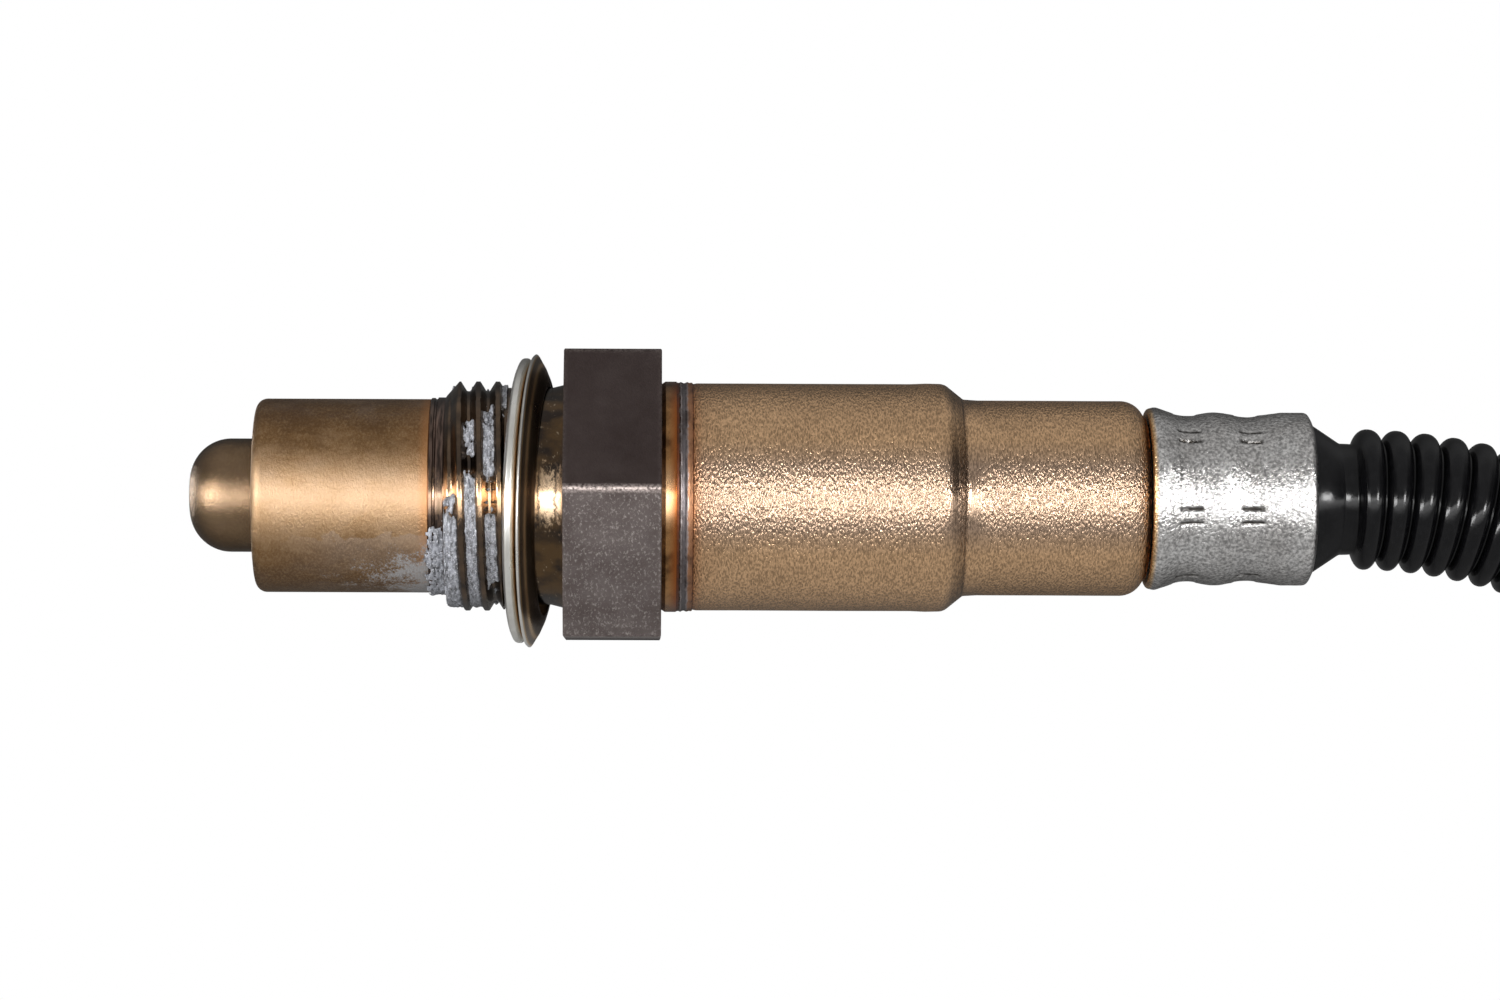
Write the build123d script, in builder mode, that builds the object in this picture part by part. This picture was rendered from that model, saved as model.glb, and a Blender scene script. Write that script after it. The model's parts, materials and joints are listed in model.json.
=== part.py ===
from build123d import *
import os
from math import cos, degrees, pi, radians, sin, tan

# Oxygen sensor with a planar element, an M18 thread and a 22 mm hexagon.
# The sensor lies along X with its tip towards -X. The origin is on the sensor's axis in the
# seat plane, the front face of the hexagon. Lengths are in millimetres, angles in degrees.

# ------------------------------------------------------------------ driving sizes
clearance = 0.03  # radial play of pieces that are pressed or slid together
touch_gap = 0.05  # end play where two flat faces seat on each other

# inner and outer protection tubes
nose_diameter = 8.8
nose_stand_out = 5.15
nose_corner_radius = 3.2
nose_hole_diameter = 2.0
inner_tube_wall = 0.35
inner_tube_slope_length = 2.0
inner_tube_seat_length = 4.9
inner_tube_hole_diameter = 1.2
inner_tube_hole_setback = 5.5
inner_tube_hole_turns = (0, 45, 90, 135)
inner_tube_seat_depth = 0.5
tube_bend_radius = 0.6
outer_tube_diameter = 15.0
outer_tube_length = 13.5
outer_tube_wall = 0.4
outer_tube_corner_radius = 0.85
gas_inlet_count = 8
gas_inlet_diameter = 1.3

# housing
pilot_diameter = 15.2
pilot_length = 1.25
tube_spigot_length = 2.5
spigot_wall = 1.0
thread_major_diameter = 17.77
thread_length = 4.5
thread_lead_in = 0.9
thread_lead_in_diameter = 15.8
undercut_length = 4.6
neck_diameter = 16.8
neck_root_diameter = 17.3
neck_cone_length = 1.0
hex_across_flats = 22.0
hex_thickness = 7.5
hex_roll = 2.8
collar_diameter = 17.86
collar_length = 1.15
shell_spigot_length = 2.65
front_bore_diameter = 9.2
packing_bore_diameter = 11.2
packing_bore_start = -5.0
caulked_lip_bore = 10.0
caulked_lip_length = 1.0

# crush washer, a ring folded from one sheet
washer_sheet = 0.4
washer_rim_diameter = 22.6
washer_bore_radius = 8.83
washer_front_radius = 10.9
washer_half_width = 1.05
washer_flange_start = -0.05
washer_curl_end = -0.25
washer_cone_setback = 0.1
washer_bend_radius = 0.5
washer_offset = -2.4
washer_drop = 0.36
washer_tilt = 4.9
washer_lean = 1.2

# packing, element and contact set
element_width = 4.2
element_thickness = 1.3
element_tip_gap = 1.6
element_tip_chamfer = 0.3
element_end_setback = 1.5
front_bush_length = 5.0
powder_length = 2.5
spring_ring_thickness = 0.8
spring_ring_width = 2.0
holder_gap = 2.7
holder_length = 14.0
holder_side_play = 0.9
holder_split = 0.1
clamp_sheet = 0.4
clamp_length = 5.0
clamp_mouth = 3.0
contact_sheet = 0.25
contact_width = 0.9
contact_height = 1.25
contact_tip = 1.0
contact_pad = 3.0
contact_heel = 5.5
contact_groove_play = 0.1
upper_contact_rows = (-1.5, 0.0, 1.5)
lower_contact_rows = (-1.0, 1.0)
barrel_gap = 0.3
barrel_length = 4.8
barrel_wall = 0.22
barrel_floor = 0.5
wire_diameter = 1.6
wire_circle_radius = 2.0
wire_angle_start = 90.0
wire_names = ("wire_white", "wire_grey", "wire_black", "wire_red", "wire_yellow")

# weld seam and metal shell
weld_width = 1.25
weld_lip_height = 0.1
shell_diameter = 17.6
shell_wall = 0.5
shell_large_length = 19.46
shoulder_length = 1.48
shoulder_radius = 1.0
shell_small_diameter = 15.1
shell_small_length = 14.06
shell_end_radius = 1.6
shell_neck_step = 2.3
shell_neck_length = 11.9

# wire grommet
grommet_collar_length = 4.5

# crimp sleeve
sleeve_length = 12.75
sleeve_wall = 0.5
sleeve_lip_step = 0.45
sleeve_lip_length = 0.55
sleeve_lip_radius = 0.4
sleeve_waist_step = 1.2
sleeve_bulge_step = 0.8
sleeve_land_step = 0.85
sleeve_land_length = 2.3
crimp_first = 3.05
crimp_pitch = 4.7
jaw_count = 6
jaw_first_turn = 11.5
jaw_mark_length = 1.7
jaw_mark_width = 5.2
jaw_mark_depth = 0.15

# hose boot
cuff_setback = 1.25
cone_step = 0.9
cone_length = 2.2
hose_neck_length = 1.15
hose_valley_diameter = 8.4
hose_crest_diameter = 10.9
hose_pitch = 2.05
hose_rib_width = 1.7
hose_shoulder_drop = 0.4
hose_ribs_per_bend = 8
hose_bend_radius = 44.0
rear_cuff_diameter = 10.0
rear_cuff_length = 8.0
rear_cuff_round = 0.8
cable_grip_length = 6.0

# cable, its coil and the tie round it
cable_diameter = 6.5
cable_corner_share = 0.45
cable_route = [
    (95.2, 0.0, -6.05),
    (108.2, 0.0, -6.05),
    (120.6, -2.2, -7.65),
    (132.8, -4.44, -7.65),
]
coil_radius = 32.5
coil_stub_length = 22.0
coil_stub_overlap = 6.0
coil_exit_angle = 110.0
coil_exit_length = 30.0
tie_angle = 20.0
tie_width = 3.6
tie_thickness = 0.8
tie_play = 0.2
tie_head = 5.2

# connector
connector_width = 21.1
connector_thickness = 13.0
connector_body_length = 22.0
connector_corner_radius = 2.4
plug_face_width = 15.4
plug_face_thickness = 8.6
plug_face_length = 9.0
front_seal_length = 2.4
front_seal_height = 0.8
rear_cap_length = 4.0
rear_cap_inset = 1.6
spout_length = 6.5
spout_wall = 1.4
wire_seal_length = 5.0
wire_seal_inset = 2.2
terminal_hole_diameter = 2.2
terminal_size = 1.3
terminal_pitch = 4.2
terminal_depth = 14.0
terminal_setback = 1.5
lock_width = 7.0
lock_setback = 1.5
lock_length = 15.0
lock_thickness = 1.3
lock_lift = 1.0
lock_root_length = 2.4
lock_hook_height = 1.4

os.makedirs("parts", exist_ok=True)

# ------------------------------------------------------------------ stations and radii
x_thread_rear = -undercut_length
x_thread_front = x_thread_rear - thread_length
x_pilot_front = x_thread_front - pilot_length
x_spigot_front = x_pilot_front - tube_spigot_length
x_tube_front = x_pilot_front - outer_tube_length
x_tip = x_tube_front - nose_stand_out
x_seat_step = x_pilot_front - inner_tube_seat_length
x_seat_end = x_pilot_front + inner_tube_seat_depth
x_collar_end = hex_thickness + collar_length
x_shell_front = x_collar_end + weld_width
x_spigot_end = x_collar_end + shell_spigot_length
x_shoulder = x_shell_front + shell_large_length
x_small = x_shoulder + shoulder_length
x_shell_end = x_small + shell_small_length
x_neck_end = x_shell_end + shell_neck_length
x_sleeve_front = x_shell_end + touch_gap
x_sleeve_end = x_sleeve_front + sleeve_length
x_cone_end = x_sleeve_end + cone_length
x_bend_start = x_cone_end + hose_neck_length

tube_bore_radius = outer_tube_diameter / 2 - outer_tube_wall
spigot_radius = tube_bore_radius - clearance
shell_neck_diameter = shell_small_diameter - 2 * shell_neck_step
sleeve_lip_diameter = shell_small_diameter - 2 * sleeve_lip_step
sleeve_waist_diameter = shell_small_diameter - 2 * sleeve_waist_step
sleeve_bulge_diameter = shell_small_diameter - 2 * sleeve_bulge_step
sleeve_land_diameter = shell_small_diameter - 2 * sleeve_land_step
cone_diameter = sleeve_land_diameter - 2 * cone_step
nose_radius = nose_diameter / 2
shell_bore_radius = shell_diameter / 2 - shell_wall
small_bore_radius = shell_small_diameter / 2 - shell_wall
neck_bore_radius = shell_neck_diameter / 2 - shell_wall
shell_spigot_radius = shell_bore_radius - clearance
packing_radius = packing_bore_diameter / 2 - clearance
inner_seat_radius = spigot_radius - spigot_wall
nose_line = nose_radius - inner_tube_wall / 2
inner_seat_line = inner_seat_radius - clearance - inner_tube_wall / 2
outer_tube_line = (outer_tube_diameter - outer_tube_wall) / 2
cable_radius = cable_diameter / 2
hose_bore_radius = cable_radius + clearance

x_powder = packing_bore_start + front_bush_length
x_rear_bush = x_powder + powder_length
x_lip = x_spigot_end - caulked_lip_length
x_spring_ring = x_lip - spring_ring_thickness
x_holder = x_spigot_end + holder_gap
x_holder_end = x_holder + holder_length
x_barrel = x_holder_end + barrel_gap
x_element_front = x_tip + element_tip_gap
element_length = x_holder_end - element_end_setback - x_element_front


def save(builder, name):
    """Labels a finished piece and writes it as a STEP file."""
    builder.part.label = name
    export_step(builder.part, f"parts/{name}.step")


# ------------------------------------------------------------------ protection tubes
with BuildPart() as inner_protection_tube:
    with BuildSketch():
        with BuildLine():
            FilletPolyline(
                (x_tip + inner_tube_wall / 2, nose_hole_diameter / 2),
                (x_tip + inner_tube_wall / 2, nose_line),
                (x_seat_step - inner_tube_slope_length, nose_line),
                (x_seat_step, inner_seat_line),
                (x_seat_end, inner_seat_line),
                radius=[nose_corner_radius - inner_tube_wall / 2, tube_bend_radius, tube_bend_radius],
            )
        trace(line_width=inner_tube_wall)
    revolve(axis=Axis.X)
    for turn in inner_tube_hole_turns:
        side_plane = Plane.XZ.rotated((turn, 0, 0))
        with BuildSketch(side_plane):
            with Locations((x_tube_front + inner_tube_hole_setback, 0)):
                Circle(inner_tube_hole_diameter / 2)
        extrude(amount=nose_diameter, both=True, mode=Mode.SUBTRACT)
save(inner_protection_tube, "inner_protection_tube")

with BuildPart() as outer_protection_tube:
    with BuildSketch():
        with BuildLine():
            FilletPolyline(
                (x_tube_front + outer_tube_wall / 2, nose_radius + clearance),
                (x_tube_front + outer_tube_wall / 2, outer_tube_line),
                (x_pilot_front, outer_tube_line),
                radius=outer_tube_corner_radius - outer_tube_wall / 2,
            )
        trace(line_width=outer_tube_wall)
    revolve(axis=Axis.X)
    with BuildSketch(Plane.YZ.offset(x_tube_front)):
        with PolarLocations((nose_radius + tube_bore_radius) / 2, gas_inlet_count):
            Circle(gas_inlet_diameter / 2)
    extrude(amount=2 * outer_tube_wall, mode=Mode.SUBTRACT)
save(outer_protection_tube, "outer_protection_tube")

# ------------------------------------------------------------------ housing
with BuildPart() as housing:
    with BuildSketch():
        with BuildLine():
            Polyline(
                (x_spigot_front, 0),
                (x_spigot_front, spigot_radius),
                (x_pilot_front, spigot_radius),
                (x_pilot_front, pilot_diameter / 2),
                (x_thread_front, pilot_diameter / 2),
                (x_thread_front, thread_lead_in_diameter / 2),
                (x_thread_front + thread_lead_in, thread_major_diameter / 2),
                (x_thread_rear, thread_major_diameter / 2),
                (
                    x_thread_rear + (thread_major_diameter - neck_diameter) / 2,
                    neck_diameter / 2,
                ),
                (-neck_cone_length, neck_diameter / 2),
                (0, neck_root_diameter / 2),
                (hex_thickness, neck_root_diameter / 2),
                (hex_thickness, collar_diameter / 2),
                (x_collar_end, collar_diameter / 2),
                (x_collar_end, shell_spigot_radius),
                (x_spigot_end, shell_spigot_radius),
                (x_spigot_end, 0),
                close=True,
            )
        make_face()
    revolve(axis=Axis.X)
    with BuildSketch(Plane.YZ):
        RegularPolygon(
            hex_across_flats / 2, side_count=6, major_radius=False, rotation=-hex_roll
        )
    extrude(amount=hex_thickness)
    with BuildSketch():
        with BuildLine():
            Polyline(
                (x_spigot_front, 0),
                (x_spigot_front, inner_seat_radius),
                (x_seat_end + touch_gap, inner_seat_radius),
                (x_seat_end + touch_gap, front_bore_diameter / 2),
                (packing_bore_start, front_bore_diameter / 2),
                (packing_bore_start, packing_bore_diameter / 2),
                (x_lip, packing_bore_diameter / 2),
                (x_lip, caulked_lip_bore / 2),
                (x_spigot_end, caulked_lip_bore / 2),
                (x_spigot_end, 0),
                close=True,
            )
        make_face()
    revolve(axis=Axis.X, mode=Mode.SUBTRACT)
save(housing, "housing")

# ------------------------------------------------------------------ crush washer
washer_plane = Plane(
    Location((washer_offset, 0, -washer_drop), (0, washer_lean, -washer_tilt))
)
washer_axis = Axis(washer_plane.origin, washer_plane.x_dir)
washer_inner_line = washer_bore_radius + washer_sheet / 2

with BuildPart() as crush_washer:
    with BuildSketch(washer_plane):
        with BuildLine():
            FilletPolyline(
                (washer_flange_start, washer_rim_diameter / 2),
                (washer_half_width - washer_cone_setback, washer_inner_line),
                (-washer_half_width, washer_inner_line),
                (-washer_half_width, washer_front_radius),
                (washer_curl_end, washer_front_radius),
                radius=washer_bend_radius,
            )
        trace(line_width=washer_sheet)
    revolve(axis=washer_axis)
save(crush_washer, "crush_washer")

# ------------------------------------------------------------------ element and packing
with BuildPart() as sensor_element:
    with BuildSketch(Plane.YZ.offset(x_element_front)):
        Rectangle(element_width, element_thickness)
    extrude(amount=element_length)
    tip_edges = sensor_element.edges().filter_by(Axis.Y).group_by(Axis.X)[0]
    chamfer(tip_edges, length=element_tip_chamfer)
save(sensor_element, "sensor_element")


def slotted_disc(start):
    """A disc that fills the packing bore, with the slot that the element passes."""
    with BuildSketch(Plane.YZ.offset(start)) as disc:
        Circle(packing_radius)
        Rectangle(
            element_width + 2 * clearance,
            element_thickness + 2 * clearance,
            mode=Mode.SUBTRACT,
        )
    return disc.sketch


with BuildPart() as front_ceramic_bush:
    extrude(slotted_disc(packing_bore_start), amount=front_bush_length)
save(front_ceramic_bush, "front_ceramic_bush")

with BuildPart() as sealing_powder:
    extrude(slotted_disc(x_powder), amount=powder_length)
save(sealing_powder, "sealing_powder")

with BuildPart() as rear_ceramic_bush:
    extrude(slotted_disc(x_rear_bush), amount=x_spring_ring - x_rear_bush)
save(rear_ceramic_bush, "rear_ceramic_bush")

with BuildPart() as spring_ring:
    with BuildSketch(Plane.YZ.offset(x_spring_ring)):
        Circle(packing_radius)
        Circle(packing_radius - spring_ring_width, mode=Mode.SUBTRACT)
    extrude(amount=spring_ring_thickness)
save(spring_ring, "spring_ring")

# ------------------------------------------------------------------ contact holder
holder_radius = shell_bore_radius - holder_side_play
groove_top = contact_height + contact_sheet / 2 + contact_groove_play
groove_width = contact_width + 2 * contact_groove_play


def holder_section(side, rows):
    """One half of the contact holder: side is 1 above the element and -1 below it."""
    with BuildSketch(Plane.YZ.offset(x_holder)) as section:
        Circle(holder_radius)
        with Locations((0, -side * (holder_radius - holder_split))):
            Rectangle(2 * holder_radius, 2 * holder_radius, mode=Mode.SUBTRACT)
        Rectangle(
            element_width + 2 * clearance,
            element_thickness + 2 * clearance,
            mode=Mode.SUBTRACT,
        )
        with Locations(*[(row, 0) for row in rows]):
            Rectangle(groove_width, 2 * groove_top, mode=Mode.SUBTRACT)
    return section.sketch


with BuildPart() as contact_holder_upper:
    extrude(holder_section(1, upper_contact_rows), amount=holder_length)
save(contact_holder_upper, "contact_holder_upper")

with BuildPart() as contact_holder_lower:
    extrude(holder_section(-1, lower_contact_rows), amount=holder_length)
save(contact_holder_lower, "contact_holder_lower")

with BuildPart() as holder_clamp_ring:
    with BuildSketch(Plane.YZ.offset(x_holder + (holder_length - clamp_length) / 2)):
        Circle(holder_radius + clearance + clamp_sheet)
        Circle(holder_radius + clearance, mode=Mode.SUBTRACT)
        with Locations((holder_radius, 0)):
            Rectangle(holder_radius, clamp_mouth, mode=Mode.SUBTRACT)
    extrude(amount=clamp_length)
save(holder_clamp_ring, "holder_clamp_ring")

# ------------------------------------------------------------------ contacts
wire_step = 360 / len(wire_names)
wire_places = [
    (
        wire_circle_radius * cos(radians(wire_angle_start + wire_step * place)),
        wire_circle_radius * sin(radians(wire_angle_start + wire_step * place)),
    )
    for place in range(len(wire_names))
]
contact_rows = [
    (upper_contact_rows[1], 1),
    (upper_contact_rows[0], 1),
    (lower_contact_rows[0], -1),
    (lower_contact_rows[1], -1),
    (upper_contact_rows[2], 1),
]
barrel_bore_radius = wire_diameter / 2 + clearance
pad_height = element_thickness / 2 + contact_sheet / 2 + clearance

for number, ((row, side), place) in enumerate(zip(contact_rows, wire_places), start=1):
    with BuildPart() as contact_spring:
        with BuildSketch(Plane.XZ.offset(-row)):
            with BuildLine():
                Polyline(
                    (x_holder + contact_tip, side * contact_height),
                    (x_holder + contact_pad, side * pad_height),
                    (x_holder + contact_heel, side * contact_height),
                    (x_barrel, side * contact_height),
                )
            trace(line_width=contact_sheet)
        extrude(amount=contact_width / 2, both=True)
        with BuildSketch(Plane.YZ.offset(x_barrel)):
            with Locations(place):
                Circle(barrel_bore_radius + barrel_wall)
        extrude(amount=barrel_length)
        with BuildSketch(Plane.YZ.offset(x_barrel + barrel_floor)):
            with Locations(place):
                Circle(barrel_bore_radius)
        extrude(amount=barrel_length, mode=Mode.SUBTRACT)
    save(contact_spring, f"contact_spring_{number}")

# ------------------------------------------------------------------ weld and shell
with BuildPart() as weld_seam:
    with BuildSketch():
        with BuildLine():
            Polyline(
                (x_shell_front, shell_diameter / 2 + weld_lip_height),
                (x_shell_front, shell_spigot_radius + clearance),
                (x_collar_end, shell_spigot_radius + clearance),
                (x_collar_end, shell_diameter / 2 + weld_lip_height),
            )
            ThreePointArc(
                (x_collar_end, shell_diameter / 2 + weld_lip_height),
                (x_collar_end + weld_width / 2, shell_diameter / 2),
                (x_shell_front, shell_diameter / 2 + weld_lip_height),
            )
        make_face()
    revolve(axis=Axis.X)
save(weld_seam, "weld_seam")

with BuildPart() as metal_shell:
    with BuildSketch():
        with BuildLine():
            FilletPolyline(
                (x_shell_front, shell_diameter / 2),
                (x_shoulder, shell_diameter / 2),
                (x_small, shell_small_diameter / 2),
                (x_shell_end, shell_small_diameter / 2),
                (x_shell_end, shell_neck_diameter / 2),
                (x_neck_end, shell_neck_diameter / 2),
                radius=[
                    shoulder_radius,
                    shoulder_radius - shell_wall / 2,
                    shell_end_radius,
                    0,
                ],
            )
            Polyline(
                (x_neck_end, shell_neck_diameter / 2),
                (x_neck_end, neck_bore_radius),
                (x_shell_end - shell_wall, neck_bore_radius),
            )
            FilletPolyline(
                (x_shell_end - shell_wall, neck_bore_radius),
                (x_shell_end - shell_wall, small_bore_radius),
                (x_small - shell_wall / 2, small_bore_radius),
                (x_shoulder - shell_wall / 2, shell_bore_radius),
                (x_shell_front, shell_bore_radius),
                radius=[
                    shell_end_radius - shell_wall,
                    shoulder_radius,
                    shoulder_radius - shell_wall / 2,
                ],
            )
            Line((x_shell_front, shell_bore_radius), (x_shell_front, shell_diameter / 2))
        make_face()
    revolve(axis=Axis.X)
save(metal_shell, "metal_shell")

# ------------------------------------------------------------------ wire grommet
x_grommet_end = x_neck_end + touch_gap
x_collar_rear = x_shell_end - shell_end_radius
x_collar_front = x_collar_rear - grommet_collar_length

with BuildPart() as wire_grommet:
    with BuildSketch():
        with BuildLine():
            Polyline(
                (x_collar_front, 0),
                (x_collar_front, small_bore_radius - clearance),
                (x_collar_rear, small_bore_radius - clearance),
                (x_collar_rear, neck_bore_radius - clearance),
                (x_grommet_end, neck_bore_radius - clearance),
                (x_grommet_end, 0),
                close=True,
            )
        make_face()
    revolve(axis=Axis.X)
    with BuildSketch(Plane.YZ.offset(x_collar_front)):
        with Locations(*wire_places):
            Circle(wire_diameter / 2 + clearance)
    extrude(amount=x_grommet_end - x_collar_front, mode=Mode.SUBTRACT)
save(wire_grommet, "wire_grommet")


# ------------------------------------------------------------------ crimp sleeve
def crimp_line(inset):
    """Adds the wave of the squeezed sleeve, inset from its outer face; gives the line."""
    x_first = x_sleeve_front + crimp_first
    return Spline(
        (x_sleeve_front + sleeve_lip_length, sleeve_lip_diameter / 2 - inset),
        (x_first, sleeve_waist_diameter / 2 - inset),
        (x_first + crimp_pitch / 2, sleeve_bulge_diameter / 2 - inset),
        (x_first + crimp_pitch, sleeve_waist_diameter / 2 - inset),
        (x_sleeve_end - sleeve_land_length, sleeve_land_diameter / 2 - inset),
        tangents=[(1, 0), (1, 0)],
    )


with BuildPart() as crimp_sleeve:
    with BuildSketch():
        with BuildLine():
            outer_wave = crimp_line(0)
            inner_wave = crimp_line(sleeve_wall)
            FilletPolyline(
                outer_wave @ 0,
                (x_sleeve_front, sleeve_lip_diameter / 2),
                (x_sleeve_front, sleeve_lip_diameter / 2 - sleeve_wall),
                inner_wave @ 0,
                radius=[sleeve_lip_radius, 0],
            )
            FilletPolyline(
                outer_wave @ 1,
                (x_sleeve_end, sleeve_land_diameter / 2),
                (x_sleeve_end, sleeve_land_diameter / 2 - sleeve_wall),
                inner_wave @ 1,
                radius=[sleeve_lip_radius, 0],
            )
        make_face()
    revolve(axis=Axis.X)
    for waist in range(2):
        x_waist = x_sleeve_front + crimp_first + waist * crimp_pitch
        mark_height = sleeve_waist_diameter / 2 - jaw_mark_depth
        for jaw in range(jaw_count):
            mark_turn = jaw_first_turn + jaw * 360 / jaw_count
            mark_plane = Plane.XY.rotated((mark_turn, 0, 0)).offset(mark_height)
            with BuildSketch(mark_plane):
                with Locations((x_waist, 0)):
                    Rectangle(jaw_mark_length, jaw_mark_width)
            extrude(amount=jaw_mark_length, mode=Mode.SUBTRACT)
save(crimp_sleeve, "crimp_sleeve")


# ------------------------------------------------------------------ hose boot
def hose_plane(distance):
    """The plane on the boot's centre line at a distance from its first bend, X along it."""
    bend_length = hose_pitch * hose_ribs_per_bend
    first = min(distance, bend_length)
    second = distance - first
    fall = degrees(first / hose_bend_radius)
    x = x_bend_start + hose_bend_radius * sin(radians(fall))
    z = -hose_bend_radius * (1 - cos(radians(fall)))
    if second > 0:
        rise = degrees(second / hose_bend_radius)
        low = radians(fall)
        high = radians(fall - rise)
        x += hose_bend_radius * (sin(low) - sin(high))
        z -= hose_bend_radius * (cos(high) - cos(low))
        fall -= rise
    return Plane(Location((x, 0, z), (0, fall, 0)))


def hose_route(start, end, side=0.0, height=0.0):
    """Adds the boot's centre line, moved to one side and up, from station to station."""
    bend = degrees(hose_pitch * hose_ribs_per_bend / hose_bend_radius)
    with BuildLine(Plane.XZ.offset(-side)) as route:
        if start < x_bend_start:
            Line((start, height), (x_bend_start, height))
        down = JernArc((x_bend_start, height), (1, 0), hose_bend_radius + height, -bend)
        level = JernArc(down @ 1, down % 1, hose_bend_radius - height, bend)
        Line(level @ 1, (end, (level @ 1).Z))
    return route.wire()


rib_count = 2 * hose_ribs_per_bend
hose_end = hose_plane(rib_count * hose_pitch).origin
x_hose_end = hose_end.X
x_cuff_end = x_hose_end + rear_cuff_length
x_cable_start = x_cuff_end - cable_grip_length
cuff_inset = sleeve_wall + clearance
hose_root_radius = (hose_bore_radius + hose_valley_diameter / 2) / 2
hose_shoulder_radius = hose_crest_diameter / 2 - hose_shoulder_drop

with BuildPart() as hose_boot:
    with BuildSketch():
        with BuildLine():
            full_wave = crimp_line(cuff_inset)
            Line(full_wave @ 1, (x_sleeve_end, sleeve_land_diameter / 2 - cuff_inset))
            Polyline(
                (x_sleeve_end, sleeve_land_diameter / 2 - cuff_inset),
                (x_sleeve_end, cone_diameter / 2),
                (x_cone_end, hose_valley_diameter / 2),
                (x_cone_end, 0),
                ((full_wave @ 0).X, 0),
                full_wave @ 0,
            )
        make_face()
    revolve(axis=Axis.X)
    with BuildSketch(Plane.YZ.offset(x_sleeve_front)):
        Circle(sleeve_lip_diameter)
    extrude(amount=cuff_setback, mode=Mode.SUBTRACT)
    with BuildSketch(Plane.YZ.offset(x_cone_end)):
        Circle(hose_valley_diameter / 2)
    sweep(path=hose_route(x_cone_end, x_cuff_end))
    for rib in range(rib_count):
        across_hose = hose_plane((rib + 0.5) * hose_pitch)
        along_hose = Plane(across_hose.origin, x_dir=across_hose.x_dir, z_dir=(0, -1, 0))
        with BuildSketch(along_hose):
            with BuildLine():
                crest = ThreePointArc(
                    (-hose_rib_width / 2, hose_shoulder_radius),
                    (0, hose_crest_diameter / 2),
                    (hose_rib_width / 2, hose_shoulder_radius),
                )
                Polyline(
                    crest @ 1,
                    (hose_rib_width / 2, hose_root_radius),
                    (-hose_rib_width / 2, hose_root_radius),
                    crest @ 0,
                )
            make_face()
        revolve(axis=Axis(along_hose.origin, along_hose.x_dir))
    with BuildSketch(Plane.YZ.offset(x_hose_end)):
        with Locations((0, hose_end.Z)):
            Circle(rear_cuff_diameter / 2)
    extrude(amount=rear_cuff_length)
    fillet(
        hose_boot.edges().filter_by(GeomType.CIRCLE).sort_by(Axis.X)[-1],
        radius=rear_cuff_round,
    )
    with BuildSketch():
        with BuildLine():
            Polyline(
                (x_sleeve_front, 0),
                (x_sleeve_front, shell_neck_diameter / 2 + clearance),
                (x_sleeve_end, shell_neck_diameter / 2 + clearance),
                (x_cone_end, hose_bore_radius),
                (x_cone_end, 0),
                close=True,
            )
        make_face()
    revolve(axis=Axis.X, mode=Mode.SUBTRACT)
    with BuildSketch(Plane.YZ.offset(x_cone_end)):
        Circle(hose_bore_radius)
    sweep(path=hose_route(x_cone_end, x_cuff_end), mode=Mode.SUBTRACT)
save(hose_boot, "hose_boot")

# ------------------------------------------------------------------ wires
x_wire_start = x_barrel + barrel_floor + touch_gap
for name, (side, height) in zip(wire_names, wire_places):
    with BuildPart() as wire:
        with BuildSketch(Plane.YZ.offset(x_wire_start)):
            with Locations((side, height)):
                Circle(wire_diameter / 2)
        sweep(path=hose_route(x_wire_start, x_cable_start, side, height))
    save(wire, name)


# ------------------------------------------------------------------ cable
def corner_radii(route):
    """The arc at each corner: a share of its shorter run over the tangent of half its turn."""
    radii = []
    for before, corner, after in zip(route, route[1:], route[2:]):
        run_in = Vector(corner) - Vector(before)
        run_out = Vector(after) - Vector(corner)
        half_turn = radians(run_in.get_angle(run_out) / 2)
        radii.append(cable_corner_share * min(run_in.length, run_out.length) / tan(half_turn))
    return radii


cable_radii = corner_radii(cable_route)
print("cable corner radii:", [round(radius, 1) for radius in cable_radii])

with BuildPart() as cable_lead:
    with BuildLine():
        cable_line = FilletPolyline(*cable_route, radius=cable_radii)
    with BuildSketch(Plane(cable_line @ 0, z_dir=cable_line % 0)):
        Circle(cable_radius)
    sweep(path=cable_line)
save(cable_lead, "cable_lead")
lead_length = cable_line.length
print("cable lead:", round(lead_length, 2), "volume over section times length:",
      round(cable_lead.part.volume / (pi * cable_radius**2 * lead_length), 4))

# The coil: the cable enters it along its last run, and leaves it at the exit angle.
entry_run = (Vector(cable_route[-1]) - Vector(cable_route[-2])).normalized()
entry_normal = Vector(-entry_run.Y, entry_run.X, 0)
coil_entry = Vector(cable_route[-1]) + entry_run * coil_stub_length
coil_centre = coil_entry + entry_normal * coil_radius
exit_out = Vector(cos(radians(coil_exit_angle)), sin(radians(coil_exit_angle)), 0)
exit_run = Vector(-exit_out.Y, exit_out.X, 0)
upper_turn = Vector(0, 0, cable_diameter)
coil_exit = coil_centre + exit_out * coil_radius + upper_turn
cable_end = coil_exit + exit_run * coil_exit_length
print("coil centre:", coil_centre, "cable end:", cable_end)

with BuildPart() as cable_coil:
    with BuildSketch(Plane(coil_centre, x_dir=(1, 0, 0), z_dir=(0, -1, 0))):
        with Locations((coil_radius, cable_radius)):
            SlotOverall(2 * cable_diameter, cable_diameter, rotation=90)
    revolve(axis=Axis(coil_centre, (0, 0, 1)))
    with BuildSketch(Plane(cable_route[-1], z_dir=entry_run)):
        Circle(cable_radius)
    extrude(amount=coil_stub_length - coil_stub_overlap)
    with BuildSketch(Plane(cable_end, z_dir=-exit_run)):
        Circle(cable_radius)
    extrude(amount=coil_exit_length - coil_stub_overlap)
save(cable_coil, "cable_coil")

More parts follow.
